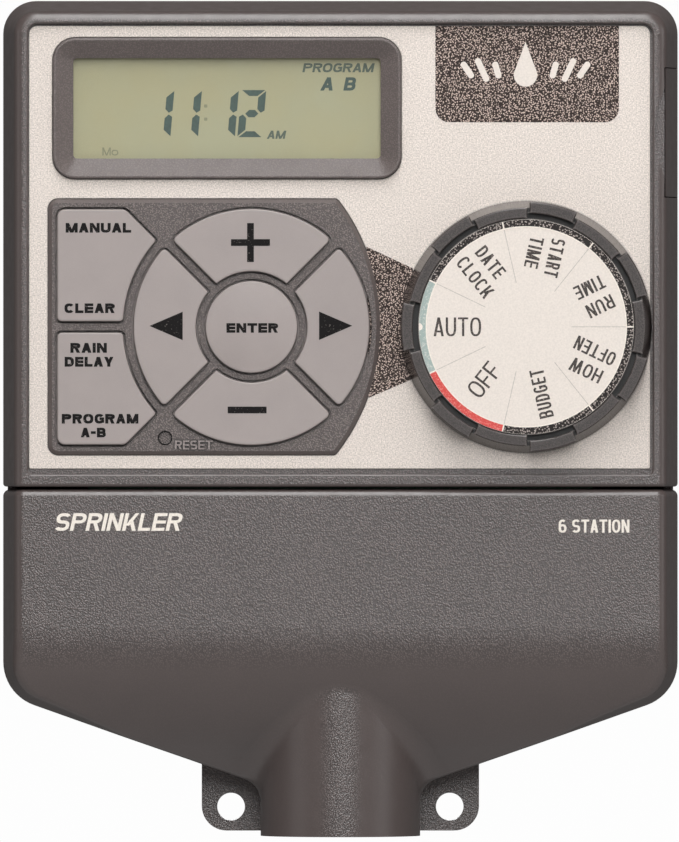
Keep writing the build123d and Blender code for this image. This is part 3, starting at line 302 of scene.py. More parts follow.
def clear_lens():
    """A thin clear window, with a faint haze of fine scratches."""
    shader = Shader("clear_lens", (0.92, 0.93, 0.9), 0.08, alpha=0.03)
    scratches = shader.noise(0.6, 4.0, 0.7, stretch=(1.0, 1.0, 12.0))
    shader.set("Roughness", shader.spread(scratches, 0.05, 0.16, 0.4, 0.75))
    shader.bump(shader.noise(9.0), 0.002)
    return shader.material


def dial_plastic():
    """Dark plastic: grained on the faces in front, and glossy round its sides where fingers turn it, with
    painted shade in its notches and a painted highlight along its edges.
    """
    shader = Shader("dial_plastic", (0.04, 0.032, 0.03), 0.4, specular_ior_level=0.5)
    grain = shader.noise(0.32, 1.5, 0.6)
    flat = shader.flatness(0.9, 0.995)
    pebble = shader.maths("MULTIPLY", shader.spread(grain, -0.3, 0.6, 0.38, 0.68), flat)
    # Painted shade darkens the notches and the corners round the pads.
    body = shader.shade(shader.maths("MULTIPLY", shader.maths("ADD", pebble, 1.0), shader.gap_shade(1.8, 0.03)))
    # A painted highlight lightens the pads' outside edges.
    edge = shader.maths("MULTIPLY", shader.edge_highlight(0.8), 0.8)
    shader.set("Base Color", shader.blend(edge, body, (0.17, 0.148, 0.14, 1.0)))
    shader.set("Roughness", shader.spread(flat, 0.2, 0.5))
    shader.bump(grain, 0.02, shader.spread(flat, 0.05, 1.0))
    return shader.material


def label_stock():
    shader = Shader("label_stock", (0.735, 0.665, 0.605), 0.5)
    shader.set("Base Color", shader.shade(shader.spread(shader.noise(0.45, 1.5), 0.94, 1.05, 0.3, 0.7)))
    shader.bump(shader.noise(0.45, 1.5), 0.012)
    return shader.material


def ring_ink():
    """The black band round the label, with painted highlights on its grain."""
    shader = Shader("ring_ink", (0.012, 0.008, 0.007), 0.55, specular_ior_level=0.3)
    grain = shader.pebbles(0.5)
    painted_highlight = shader.spread(grain, 0.0, 1.0, 0.42, 0.85)
    shader.set("Base Color", shader.blend(painted_highlight, shader.colour, (0.42, 0.36, 0.33, 1.0)))
    shader.bump(grain, 0.03)
    return shader.material


def coloured_ink(name, colour, speck):
    """Label ink with the label's grain showing through it."""
    shader = Shader(name, colour, 0.5)
    grain = shader.noise(0.45, 2.0, 0.7)
    shader.set("Base Color", shader.blend(shader.spread(grain, 0.0, 1.0, 0.52, 0.7), shader.colour, speck))
    shader.bump(grain, 0.012)
    return shader.material


def circuit_board():
    """Green solder mask over faint copper tracks."""
    shader = Shader("circuit_board", (0.02, 0.13, 0.055), 0.3, coat_weight=0.4)
    settings = {"distance": "MANHATTAN"}
    tracks = shader.node("ShaderNodeTexVoronoi", settings, Vector=shader.place, Scale=260.0, Randomness=0.35)
    line = shader.spread(tracks.outputs["Distance"], 0.0, 1.0, 0.42, 0.46)
    shader.set("Base Color", shader.blend(line, shader.colour, (0.035, 0.2, 0.08, 1.0)))
    shader.set("Roughness", shader.spread(shader.noise(2.0), 0.25, 0.38, 0.3, 0.7))
    shader.bump(line, 0.02)
    return shader.material


def metal(name, colour, roughness, stretch):
    """Brushed or plated metal with fine drawn lines."""
    shader = Shader(name, colour, roughness, metallic=1.0)
    lines = shader.noise(0.4, 4.0, 0.6, stretch=stretch)
    shader.set("Base Color", shader.shade(shader.spread(lines, 0.88, 1.06, 0.3, 0.7)))
    shader.set("Roughness", shader.spread(lines, roughness - 0.08, roughness + 0.12, 0.3, 0.7))
    shader.bump(lines, 0.006)
    return shader.material


def plain_moulding(name, colour, roughness, grain_mm=0.3, relief_mm=0.006, **values):
    """Smooth moulded plastic or rubber with slight unevenness."""
    shader = Shader(name, colour, roughness, **values)
    skin = shader.noise(grain_mm, 3.0)
    shader.set("Base Color", shader.shade(shader.spread(shader.noise(5.0, 3.0), 0.9, 1.08, 0.3, 0.7)))
    shader.set("Roughness", shader.spread(skin, roughness - 0.06, roughness + 0.06, 0.3, 0.7))
    shader.bump(skin, relief_mm)
    return shader.material


def ribbon_sheath():
    """Grey flat cable with a groove between its wires."""
    shader = Shader("ribbon_sheath", (0.45, 0.45, 0.47), 0.45)
    settings = {"wave_type": "BANDS", "bands_direction": "X", "wave_profile": "SIN"}
    waves = shader.node("ShaderNodeTexWave", settings, Vector=shader.place, Scale=130.0).outputs["Fac"]
    shader.set("Base Color", shader.shade(shader.spread(waves, 0.7, 1.05)))
    shader.bump(waves, 0.2)
    return shader.material


def zebra_rubber():
    """Thin black and white layers across the strip."""
    shader = Shader("zebra_rubber", (0.5, 0.42, 0.48), 0.6)
    settings = {"wave_type": "BANDS", "bands_direction": "X"}
    layers = shader.node("ShaderNodeTexWave", settings, Vector=shader.place, Scale=800.0).outputs["Fac"]
    shader.set("Base Color", shader.shade(shader.spread(layers, 0.15, 1.0, 0.45, 0.55)))
    shader.bump(layers, 0.01)
    return shader.material


STEEL = (0.4, 0.4, 0.41)
MATERIALS = {
    "housing_plastic": housing_plastic(),
    "plate_plastic": plate_plastic(),
    "printed_film": printed_film(),
    "clear_lens": clear_lens(),
    "lcd": lcd_face(),
    "frame_plastic": plain_moulding("frame_plastic", (0.72, 0.71, 0.67), 0.42),
    "zebra_rubber": zebra_rubber(),
    # The mat is near black so that the gaps between the keys read dark: painted shade.
    "mat_rubber": plain_moulding("mat_rubber", (0.03, 0.028, 0.028), 0.75, 0.5, 0.01),
    "key_rubber": satin_key(),
    "dial_plastic": dial_plastic(),
    "label_white": label_stock(),
    "circuit_board": circuit_board(),
    "component_black": plain_moulding("component_black", (0.02, 0.02, 0.021), 0.38, 0.2),
    "component_metal": metal("component_metal", (0.72, 0.72, 0.73), 0.32, (1.0, 1.0, 6.0)),
    "contact_brass": metal("contact_brass", (0.72, 0.5, 0.2), 0.3, (6.0, 1.0, 1.0)),
    "spring_steel": metal("spring_steel", STEEL, 0.28, (1.0, 1.0, 8.0)),
    "screw_steel": metal("screw_steel", STEEL, 0.34, (1.0, 4.0, 1.0)),
    "cell_steel": metal("cell_steel", (0.68, 0.68, 0.69), 0.26, (8.0, 1.0, 1.0)),
    "terminal_plastic": plain_moulding("terminal_plastic", (0.03, 0.2, 0.09), 0.4),
    "varistor_coat": plain_moulding("varistor_coat", (0.03, 0.09, 0.38), 0.35, 1.2, 0.04),
    "fuse_glass": plain_moulding("fuse_glass", (0.85, 0.87, 0.86), 0.12, 1.0, 0.002,
                                 transmission_weight=0.85),
    "ribbon_sheath": ribbon_sheath(),
}
BEZEL_PLASTIC = bezel_plastic()
RAISED_PLASTIC = raised_plastic()
BADGE_INK = badge_ink()
KEY_INK = key_ink()
WHITE_INK = white_ink()
SEGMENT_INK = lcd_ink("segment_ink", (0.028, 0.062, 0.05))
FAINT_INK = lcd_ink("faint_ink", (0.06, 0.088, 0.062))
GHOST_INK = lcd_ink("ghost_ink", (0.2, 0.2, 0.115))
RING_INK = ring_ink()
LABEL_INK = coloured_ink("label_ink", (0.03, 0.02, 0.016), (0.2, 0.16, 0.14, 1.0))
GREEN_INK = coloured_ink("green_ink", (0.32, 0.395, 0.37), (0.6, 0.6, 0.56, 1.0))
RED_INK = coloured_ink("red_ink", (0.62, 0.05, 0.042), (0.75, 0.26, 0.22, 1.0))
GREY_INK = coloured_ink("grey_ink", (0.45, 0.41, 0.37), (0.6, 0.55, 0.5, 1.0))


def paint_nodes():
    """Gives every CAD node the material of its slot."""
    slots = {part["node"]: part["material_slot"] for part in frame["record"]["subparts"]}
    for name, piece in frame["nodes"].items():
        material = BEZEL_PLASTIC if name == "display_bezel" else MATERIALS[slots[name]]
        piece.data.materials.clear()
        piece.data.materials.append(material)


# ---------------------------------------------------------------- flat shapes
def on_front(x, z, depth, turn=0.0):
    """Takes a shape drawn in x and y, in millimetres, to the front face at x, z, turned in degrees."""
    place = Matrix.Translation((x * MM, -depth * MM, z * MM))
    upright = Matrix.Rotation(math.radians(90), 4, "X")
    return place @ upright @ Matrix.Rotation(math.radians(turn), 4, "Z") @ Matrix.Scale(MM, 4)


def curve_mesh(curve):
    """The solid that a curve makes, as a mesh of its own."""
    holder = bpy.data.objects.new("holder", curve)
    bpy.context.scene.collection.objects.link(holder)
    bpy.context.view_layer.update()
    evaluated = holder.evaluated_get(bpy.context.evaluated_depsgraph_get())
    mesh = bpy.data.meshes.new_from_object(evaluated)
    bpy.data.objects.remove(holder)
    return mesh


def filled(loops):
    """A flat print from closed outlines: the first is its edge, and any others are holes."""
    curve = bpy.data.curves.new("outline", "CURVE")
    curve.dimensions = "2D"
    curve.fill_mode = "BOTH"
    curve.extrude = PRINT_THICKNESS / 2
    for loop in loops:
        spline = curve.splines.new("POLY")
        spline.points.add(len(loop) - 1)
        for point, (x, y) in zip(spline.points, loop):
            point.co = (x, y, 0, 1)
        spline.use_cyclic_u = True
    return curve_mesh(curve)


def strip(rows, thickness):
    """A thin plate along pairs of edge points, with an end face at its first and last pair."""
    whole = bmesh.new()
    rings = []
    for left, right in rows:
        ends = [(*left, 1), (*left, -1), (*right, -1), (*right, 1)]
        rings.append([whole.verts.new((x, y, side * thickness / 2)) for x, y, side in ends])
    for ring, after in zip(rings, rings[1:]):
        for k in range(4):
            whole.faces.new((ring[k], ring[(k + 1) % 4], after[(k + 1) % 4], after[k]))
    whole.faces.new(rings[0])
    whole.faces.new(rings[-1][::-1])
    bmesh.ops.recalc_face_normals(whole, faces=whole.faces)
    mesh = bpy.data.meshes.new("strip")
    whole.to_mesh(mesh)
    whole.free()
    return mesh


class Letters:
    """A plain block alphabet. Each letter is strokes in a box of height 1, as lists of edge pairs."""

    WIDTHS = {"I": 0.0, "M": 1.22, "W": 1.42, "-": 0.55, " ": 0.42, "E": 0.9, "F": 0.86, "L": 0.86, "O": 1.06}
    DIAGONAL_SHARE = 1.08
    ROUNDNESS = 0.8

    def __init__(self, stem, beam, unit):
        self.stem = stem
        self.beam = beam
        self.unit = unit
        self.diagonal = stem * self.DIAGONAL_SHARE

    def width(self, letter):
        return max(self.WIDTHS.get(letter, 1.0) * self.unit, self.stem)

    def upright(self, x, low=0.0, high=1.0):
        return [((x, low), (x + self.stem, low)), ((x, high), (x + self.stem, high))]

    def level(self, y, left, right):
        return [((left, y + self.beam), (left, y)), ((right, y + self.beam), (right, y))]

    def lean(self, foot, top, low=0.0, high=1.0):
        return [((foot, low), (foot + self.diagonal, low)), ((top, high), (top + self.diagonal, high))]

    def bow(self, x, y, reach, rise, start, end):
        """Part of a ring about x, y, from one angle to another. It is an oval with fuller corners."""
        steps = max(6, round(abs(end - start) / 12))
        rows = []
        for step in range(steps + 1):
            angle = math.radians(start + (end - start) * step / steps)
            c = math.copysign(abs(math.cos(angle)) ** self.ROUNDNESS, math.cos(angle))
            s = math.copysign(abs(math.sin(angle)) ** self.ROUNDNESS, math.sin(angle))
            inner = (x + (reach - self.stem) * c, y + (rise - self.beam) * s)
            rows.append(((x + reach * c, y + rise * s), inner))
        return rows

    def strokes(self, letter):
        w = self.width(letter)
        s = self.stem
        b = self.beam
        d = self.diagonal
        half = (w - d) / 2
        bowl = 0.5 + b / 2
        shapes = {
            " ": [],
            "-": [self.level(0.36, 0, w)],
            "A": [self.lean(0, half), self.lean(w - d, half), self.level(0.2, w * 0.2, w * 0.8)],
            "B": [self.upright(0), self.level(0, s / 2, w * 0.55), self.level(0.5 - b / 2, s / 2, w * 0.55),
                  self.level(1 - b, s / 2, w * 0.55),
                  self.bow(w * 0.55, bowl / 2, w * 0.45, bowl / 2, -90, 90),
                  self.bow(w * 0.53, 1 - bowl / 2, w * 0.43, bowl / 2, -90, 90)],
            "C": [self.bow(w / 2, 0.5, w / 2, 0.5, 38, 322)],
            "D": [self.upright(0), self.level(0, s / 2, w * 0.42), self.level(1 - b, s / 2, w * 0.42),
                  self.bow(w * 0.42, 0.5, w * 0.58, 0.5, -90, 90)],
            "E": [self.upright(0)] + [self.level(y, s / 2, w) for y in (0, 0.5 - b / 2, 1 - b)],
            "F": [self.upright(0), self.level(0.46 - b / 2, s / 2, w * 0.92), self.level(1 - b, s / 2, w)],
            "G": [self.bow(w / 2, 0.5, w / 2, 0.5, 38, 330), self.level(0.5 - b / 2, w * 0.52, w),
                  self.upright(w - s, 0.08, 0.5)],
            "H": [self.upright(0), self.upright(w - s), self.level(0.5 - b / 2, s / 2, w - s / 2)],
            "I": [self.upright(0)],
            "K": [self.upright(0), self.lean(s * 0.7, w - s * 1.2, 0.3),
                  self.lean(w - s * 1.15, w * 0.36, 0, 0.62)],
            "L": [self.upright(0), self.level(0, s / 2, w)],
            "M": [self.upright(0), self.upright(w - s), self.lean(half, 0), self.lean(half, w - d)],
            "N": [self.upright(0), self.upright(w - s), self.lean(w - d, 0)],
            "O": [self.bow(w / 2, 0.5, w / 2, 0.5, 0, 360)],
            "o": [self.bow(w / 2, 0.36, w / 2, 0.36, 0, 360)],
            "P": [self.upright(0), self.level(0.42, s / 2, w * 0.5), self.level(1 - b, s / 2, w * 0.5),
                  self.bow(w * 0.5, 0.71, w * 0.5, 0.29, -90, 90)],
            "S": [self.bow(w / 2, 1 - bowl / 2, w / 2, bowl / 2, 28, 270),
                  self.bow(w / 2, bowl / 2, w / 2, bowl / 2, 208, 450)],
            "T": [self.level(1 - b, 0, w), self.upright((w - s) / 2)],
            "U": [self.upright(0, 0.42), self.upright(w - s, 0.42),
                  self.bow(w / 2, 0.42, w / 2, 0.42, 180, 360)],
            "W": [self.lean(w * 0.2 - s * 0.3, 0), self.lean(w * 0.2 - s * 0.3, w / 2 - s / 2),
                  self.lean(w * 0.8 - s * 0.7, w / 2 - s / 2), self.lean(w * 0.8 - s * 0.7, w - s)],
            "Y": [self.lean(half, 0, 0.36), self.lean(half, w - d, 0.36),
                  self.upright((w - s) / 2, 0, 0.45)],
            "6": [self.bow(w / 2, 0.5, w / 2, 0.5, 48, 270), self.bow(w / 2, 0.32, w / 2, 0.32, 0, 360)],
        }
        shapes["R"] = shapes["P"] + [self.lean(w - s * 1.15, w * 0.4, 0, 0.5)]
        return shapes[letter]


def lettering(words, width, height, weight=0.2, shear=0.0, spacing=0.55, thickness=PRINT_THICKNESS):
    """Words fitted to a width and height in millimetres, about the origin. Weight is stroke to height."""
    gap = weight * spacing
    share = sum(Letters.WIDTHS.get(letter, 1.0) for letter in words)
    thin = words.count("I")
    span = (width / height - shear) - gap * (len(words) - 1) - thin * weight
    letters = Letters(weight, weight * 0.86, span / share)
    whole = bmesh.new()
    x = -(width / height) / 2
    for letter in words:
        for layer, rows in enumerate(letters.strokes(letter)):
            placed = [[((x + px + shear * py) * height, (py - 0.5) * height) for px, py in row]
                      for row in rows]
            stroke = strip(placed, thickness + layer * STROKE_STEP)
            whole.from_mesh(stroke)
            bpy.data.meshes.remove(stroke)
        x += letters.width(letter) + gap
    mesh = bpy.data.meshes.new("words")
    whole.to_mesh(mesh)
    whole.free()
    return mesh


def arc(radius, start, end, steps):
    """Points on a circle from one angle in degrees to another."""
    angles = [math.radians(start + (end - start) * step / steps) for step in range(steps + 1)]
    return [(radius * math.cos(angle), radius * math.sin(angle)) for angle in angles]


def circle(radius):
    """A closed circle with a point every 3 degrees."""
    return arc(radius, 0, 357, 119)


def band(inner_r, outer_r, start, end):
    steps = max(4, round(abs(end - start) / 3))
    return filled([arc(outer_r, start, end, steps) + arc(inner_r, end, start, steps)])


def bar(width, height, corner=0.0):
    """A rectangle about the origin, with rounded corners."""
    x = width / 2 - corner
    y = height / 2 - corner
    points = []
    for cx, cy, start in ((x, y, 0), (-x, y, 90), (-x, -y, 180), (x, -y, 270)):
        turns = arc(corner, start, start + 90, 6) if corner else [(0, 0)]
        points += [(cx + dx, cy + dy) for dx, dy in turns]
    return points


def piece(name, body, slot, material, parts):
    """One object from flat meshes, each with its place, riding on a body."""
    whole = bmesh.new()
    for mesh, place in parts:
        mesh.transform(place)
        whole.from_mesh(mesh)
        bpy.data.meshes.remove(mesh)
    bmesh.ops.remove_doubles(whole, verts=whole.verts, dist=1e-7)
    mesh = bpy.data.meshes.new(name)
    whole.to_mesh(mesh)
    whole.free()
    mesh.materials.append(material)
    made = bpy.data.objects.new(name, mesh)
    bpy.context.scene.collection.objects.link(made)
    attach(made, body)


# ---------------------------------------------------------------- prints on the film and the cover
BADGE_W = 44.8
BADGE_H = 23.55
BADGE_FROM_RIGHT = 7.6
BADGE_FROM_TOP = 0.05
BADGE_CORNER = 3.4
DROP_SIZE = 4.6
DROP_DOWN = 1.2
# Each stroke of the spray: its distance from the drop, its length, and its lean in degrees.
SPRAY = ((7.0, 4.2, 16), (10.6, 6.2, 25), (14.2, 4.6, 34))
SPRAY_W = 1.5
SPRAY_CORNER = 0.7


def badge():
    """A dark panel at the top right of the film, with a plain drop and spray on it."""
    left = FILM_HIGH.x - BADGE_FROM_RIGHT - BADGE_W
    right = FILM_HIGH.x - BADGE_FROM_RIGHT
    top = FILM_HIGH.z - BADGE_FROM_TOP
    foot = FILM_HIGH.z - BADGE_H
    inner_left = left + BADGE_CORNER
    inner_right = right - BADGE_CORNER
    inner_foot = foot + BADGE_CORNER
    low_left = [(inner_left + x, inner_foot + z) for x, z in arc(BADGE_CORNER, 180, 270, 10)]
    low_right = [(inner_right + x, inner_foot + z) for x, z in arc(BADGE_CORNER, 270, 360, 10)]
    panel = filled([[(left, top)] + low_left + low_right + [(right, top)]])
    depth = FILM_FRONT + PRINT_THICKNESS / 2
    piece("badge_panel", "housing", "printed_film", BADGE_INK, [(panel, on_front(0, 0, depth))])
    # The mark sits a little left of the panel's middle and above it.
    x = (left + right) / 2 - 0.4
    z = (foot + top) / 2 + 1.0
    parts = [(filled([drop(DROP_SIZE)]), on_front(x, z - DROP_DOWN, depth + PRINT_THICKNESS))]
    for side in (-1, 1):
        for reach, length, lean in SPRAY:
            place = on_front(x + side * reach, z, depth + PRINT_THICKNESS, -side * lean)
            parts.append((filled([bar(SPRAY_W, length, SPRAY_CORNER)]), place))
    piece("badge_drop", "housing", "printed_film", MATERIALS["label_white"], parts)


def drop(size):
    """The outline of a water drop, its round end down."""
    radius = size * 0.62
    past_half = 30
    round_end = arc(radius, 180 - past_half, 360 + past_half, 28)
    return round_end + [(0, size * 1.75)]


def pointer_print():
    """The dark shape between the keypad and the dial."""
    corners = [(-38.9, 19.6), (-27.6, 14.3), (-28.1, -12.9), (-38.4, -17.3)]
    shape = filled([corners])
    depth = FILM_FRONT + PRINT_THICKNESS / 2
    piece("pointer_print", "housing", "printed_film", BADGE_INK, [(shape, on_front(*DIAL, depth))])


def cover_words():
    """The white words on the lower cover, placed from its upper corners."""
    depth = COVER_FRONT + PRINT_THICKNESS / 2
    name = lettering("SPRINKLER", 31.6, 4.3, 0.2, 0.22, 0.45)
    zones = lettering("6 STATION", 17.3, 3.2, 0.18, 0.0, 0.5)
    parts = [
        (name, on_front(COVER_LOW.x + 28.4, COVER_HIGH.z - 7.9, depth)),
        (zones, on_front(COVER_HIGH.x - 20.6, COVER_HIGH.z - 8.9, depth)),
    ]
    piece("cover_words", "cover", "housing_plastic", WHITE_INK, parts)


# ---------------------------------------------------------------- key legends
# Their places are measured from the middle of the enter key.
LEGEND_STROKE = 0.32
LEGEND_SPACING = 0.36


def legend(name, body, rows):
    """Words on one key. Each row is the words, the place of its middle, its width and its height."""
    depth = KEY_FRONT + PRINT_THICKNESS / 2
    parts = []
    for words, x, z, width, height in rows:
        mesh = lettering(words, width, height, LEGEND_STROKE, 0.0, LEGEND_SPACING)
        parts.append((mesh, on_front(ENTER[0] + x, ENTER[1] + z, depth)))
    piece(name, body, "key_rubber", KEY_INK, parts)


def sign(name, body, x, z, outlines):
    depth = KEY_FRONT + PRINT_THICKNESS / 2
    parts = [(filled([outline]), on_front(ENTER[0] + x, ENTER[1] + z, depth)) for outline in outlines]
    piece(name, body, "key_rubber", KEY_INK, parts)


def key_legends():
    legend("legend_manual_clear", "manual_clear_key", [
        ("MANUAL", -37.35, 24.2, 16.0, 2.35),
        ("CLEAR", -39.5, 4.57, 12.3, 2.35),
    ])
    legend("legend_rain_program", "rain_program_key", [
        ("RAIN", -39.75, -5.1, 8.9, 2.4),
        ("DELAY", -39.65, -8.5, 11.9, 2.4),
        ("PROGRAM", -36.95, -22.4, 18.7, 2.35),
        ("A-B", -38.6, -25.77, 6.1, 2.35),
    ])
    arm = 9.5
    thickness = 1.64
    sign("legend_plus", "plus_key", -0.25, 20.6, [plus_outline(arm, thickness)])
    sign("legend_minus", "minus_key", -1.06, -20.26, [bar(arm, thickness)])
    reach = 8.1
    rise = 6.95
    right = [(0, -rise / 2), (reach, 0), (0, rise / 2)]
    left = [(0, -rise / 2), (0, rise / 2), (-reach, 0)]
    sign("legend_right", "right_key", 16.5, 0.3, [right])
    sign("legend_left", "left_key", -16.8, 0.25, [left])


def plus_outline(arm, thickness):
    a = arm / 2
    t = thickness / 2
    quarter = [(a, -t), (a, t), (t, t)]
    points = []
    for turn in range(4):
        for x, y in quarter:
            for _ in range(turn):
                x, y = -y, x
            points.append((x, y))
    return points


def enter_legend():
    """The word on the domed enter key, bent to the dome."""
    width = 12.6
    height = 2.33
    mesh = lettering("ENTER", width, height, LEGEND_STROKE, 0.0, LEGEND_SPACING)
    shift_x = 0.2
    shift_z = -0.24
    long_edge = 1.0
    lift = 0.01
    rim_r = 11.3
    crown = -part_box("key_enter")[0].y / MM
    dome = crown - KEY_FRONT
    ball_r = (rim_r**2 + dome**2) / (2 * dome)
    fine = bmesh.new()
    fine.from_mesh(mesh)
    bmesh.ops.subdivide_edges(fine, edges=[e for e in fine.edges if e.calc_length() > long_edge], cuts=2)
    for vertex in fine.verts:
        radius = math.hypot(vertex.co.x + shift_x, vertex.co.y + shift_z)
        vertex.co.z += math.sqrt(ball_r**2 - radius**2) - ball_r
    fine.to_mesh(mesh)
    fine.free()
    depth = crown + PRINT_THICKNESS / 2 + lift
    parts = [(mesh, on_front(ENTER[0] + shift_x, ENTER[1] + shift_z, depth))]
    piece("legend_enter", "enter_key", "key_rubber", KEY_INK, parts)


def reset_word():
    """The raised word beside the reset hole, in the plate's own plastic."""
    height = 0.45
    sunk = 0.02
    mesh = lettering("RESET", 9.2, 2.2, 0.2, thickness=height)
    place = on_front(ENTER[0] - 14.1, ENTER[1] - 28.8, PLATE_FRONT + height / 2 - sunk)
    piece("reset_word", "housing", "plate_plastic", RAISED_PLASTIC, [(mesh, place)])


# ---------------------------------------------------------------- display
DIGIT_W = 6.1
DIGIT_H = 11.5
SEGMENT = 1.8
SEGMENT_GAP = 0.22
SLANT = 0.085
SEGMENTS_LIT = {"1": "bc", "2": "abged"}


def segment_outlines(painted_highlight):
    """The lit segments of one seven-segment digit about the origin, upright, each with bevelled ends."""
    x = DIGIT_W / 2
    y = DIGIT_H / 2
    s = SEGMENT
    g = SEGMENT_GAP
    shapes = {
        "a": [(-x + g, y), (x - g, y), (x - s - g, y - s * 0.8), (-x + s + g, y - s * 0.8)],
        "b": [(x, y - g), (x, g + s * 0.3), (x - s * 0.5, g), (x - s, g + s * 0.5), (x - s, y - s)],
        "c": [(x, -y + g), (x, -g - s * 0.3), (x - s * 0.5, -g), (x - s, -g - s * 0.5), (x - s, -y + s)],
        "d": [(-x + g, -y), (x - g, -y), (x - s - g, -y + s * 0.8), (-x + s + g, -y + s * 0.8)],
        "e": [(-x, -y + g), (-x, -g - s * 0.3), (-x + s * 0.5, -g), (-x + s, -g - s * 0.5), (-x + s, -y + s)],
        "g": [(-x + s * 0.8, 0), (-x + s * 1.3, s * 0.5), (x - s * 1.3, s * 0.5),
              (x - s * 0.8, 0), (x - s * 1.3, -s * 0.5), (-x + s * 1.3, -s * 0.5)],
    }
    return [[(px + SLANT * py, py) for px, py in shapes[key]] for key in painted_highlight]


def display_content():
    """The time and words on the display, placed from its middle."""
    depth = GLASS_FRONT + PRINT_THICKNESS / 2

    def at(x, z):
        return on_front(DISPLAY[0] + x, DISPLAY[1] + z, depth)

    parts = []
    for digit, x in zip("1112", (-16.4, -9.65, -0.65, 6.05)):
        parts += [(filled([outline]), at(x, -1.25)) for outline in segment_outlines(SEGMENTS_LIT[digit])]
    words = [("A", 24.6, 6.0, 3.7, 3.25), ("B", 30.1, 6.0, 3.4, 3.25)]
    parts += [(lettering(text, w, h, 0.26, 0.2, 0.4), at(x, z)) for text, x, z, w, h in words]
    piece("display_digits", "housing", "lcd", SEGMENT_INK, parts)
    words = [("PROGRAM", 27.25, 9.96, 17.7, 2.2), ("AM", 12.1, -6.4, 4.8, 2.0)]
    parts = [(lettering(text, w, h, 0.25, 0.2, 0.4), at(x, z)) for text, x, z, w, h in words]
    piece("display_words", "housing", "lcd", FAINT_INK, parts)
    parts = [(lettering("Mo", 3.9, 1.95, 0.16), at(-28.5, -10.5))]
    parts += [(filled([bar(0.8, 0.8, 0.2)]), at(-5.2, z)) for z in (0.6, -2.6)]
    piece("display_ghosts", "housing", "lcd", GHOST_INK, parts)


# ---------------------------------------------------------------- dial label
POSITIONS = 7
STEP = 360 / POSITIONS
WHITE_R = 24.4
RING_R = 26.15
DIVIDER_INNER_R = 11.0
DIAL_STROKE = 0.56


def dial_at(layer):
    """The place of a print on the label, in the layer given."""
    return LABEL_FRONT + PRINT_THICKNESS * (layer + 0.5)


def ring_prints():
    """The band round the label: black, green and red stretches, white ticks and a white index notch."""
    start = 180 - STEP / 2
    ring = [(band(WHITE_R, RING_R, start + 2 * STEP, start + 360), on_front(*DIAL, dial_at(0)))]
    piece("label_ring", "dial", "label_white", RING_INK, ring)
    green = [(band(WHITE_R, RING_R, start, start + STEP), on_front(*DIAL, dial_at(0)))]
    piece("label_green", "dial", "label_white", GREEN_INK, green)
    red = [(band(WHITE_R, RING_R, start + STEP, start + 2 * STEP), on_front(*DIAL, dial_at(0)))]
    piece("label_red", "dial", "label_white", RED_INK, red)
    tick = 0.35
    parts = []
    for index in range(POSITIONS):
        angle = start + index * STEP
        place = on_front(*DIAL, dial_at(1)) @ Matrix.Rotation(math.radians(angle), 4, "Z")
        middle_r = (WHITE_R + RING_R) / 2
        length = RING_R - WHITE_R
        parts.append((filled([bar(length, tick)]), place @ Matrix.Translation((middle_r, 0, 0))))
    hairline = 0.14
    edge = filled([circle(WHITE_R + hairline), circle(WHITE_R - hairline)])
    parts.append((edge, on_front(*DIAL, dial_at(1))))
    notch_r = 0.9
    notch = [(x - RING_R, y) for x, y in arc(notch_r, -90, 90, 12)]
    parts.append((filled([notch]), on_front(*DIAL, dial_at(1))))
    piece("label_ticks", "dial", "label_white", WHITE_INK, parts)


def dividers():
    width = 0.16
    length = WHITE_R - DIVIDER_INNER_R
    parts = []
    for index in range(POSITIONS):
        angle = 180 + (index + 0.5) * STEP
        place = on_front(*DIAL, dial_at(0)) @ Matrix.Rotation(math.radians(angle), 4, "Z")
        shift = Matrix.Translation((DIVIDER_INNER_R + length / 2, 0, 0))
        parts.append((filled([bar(length, width)]), place @ shift))
    piece("label_dividers", "dial", "label_white", GREY_INK, parts)


def dial_words():
    """Each position's words read towards the dial's middle, upright at nine o'clock.
    A row is the words, the radii where they start and end, the letters' height, and their rise."""
    positions = [
        [("AUTO", 22.6, 11.0, 4.6, 0.0)],
        [("OFF", 20.9, 12.2, 4.5, 0.0)],
        [("BUDGET", 22.7, 10.7, 3.5, 0.0)],
        [("HOW", 21.8, 13.7, 3.4, 3.2), ("OFTEN", 22.9, 12.4, 3.4, -2.0)],
        [("RUN", 21.9, 15.0, 3.4, 3.3), ("TIME", 21.9, 14.3, 3.4, -2.0)],
        [("START", 22.6, 13.2, 3.4, 3.0), ("TIME", 21.9, 14.3, 3.4, -2.2)],
        [("DATE", 21.9, 13.6, 3.4, 3.0), ("CLOCK", 22.8, 11.6, 3.4, -2.2)],
    ]
    parts = []
    for index, rows in enumerate(positions):
        turn = on_front(*DIAL, dial_at(0), index * STEP)
        for words, outer, inner, height, rise in rows:
            shift = Matrix.Translation((-(outer + inner) / 2, rise, 0))
            mesh = lettering(words, outer - inner, height, DIAL_STROKE / height, 0.0, 0.8)
            parts.append((mesh, turn @ shift))
    piece("label_words", "dial", "label_white", LABEL_INK, parts)


# ---------------------------------------------------------------- stage, light and camera
FLOOR_Z = -0.32
FLOOR_HALF = 3.4
ROOM_LIGHT = 0.15
BACKGROUND_LEVEL = 0.985


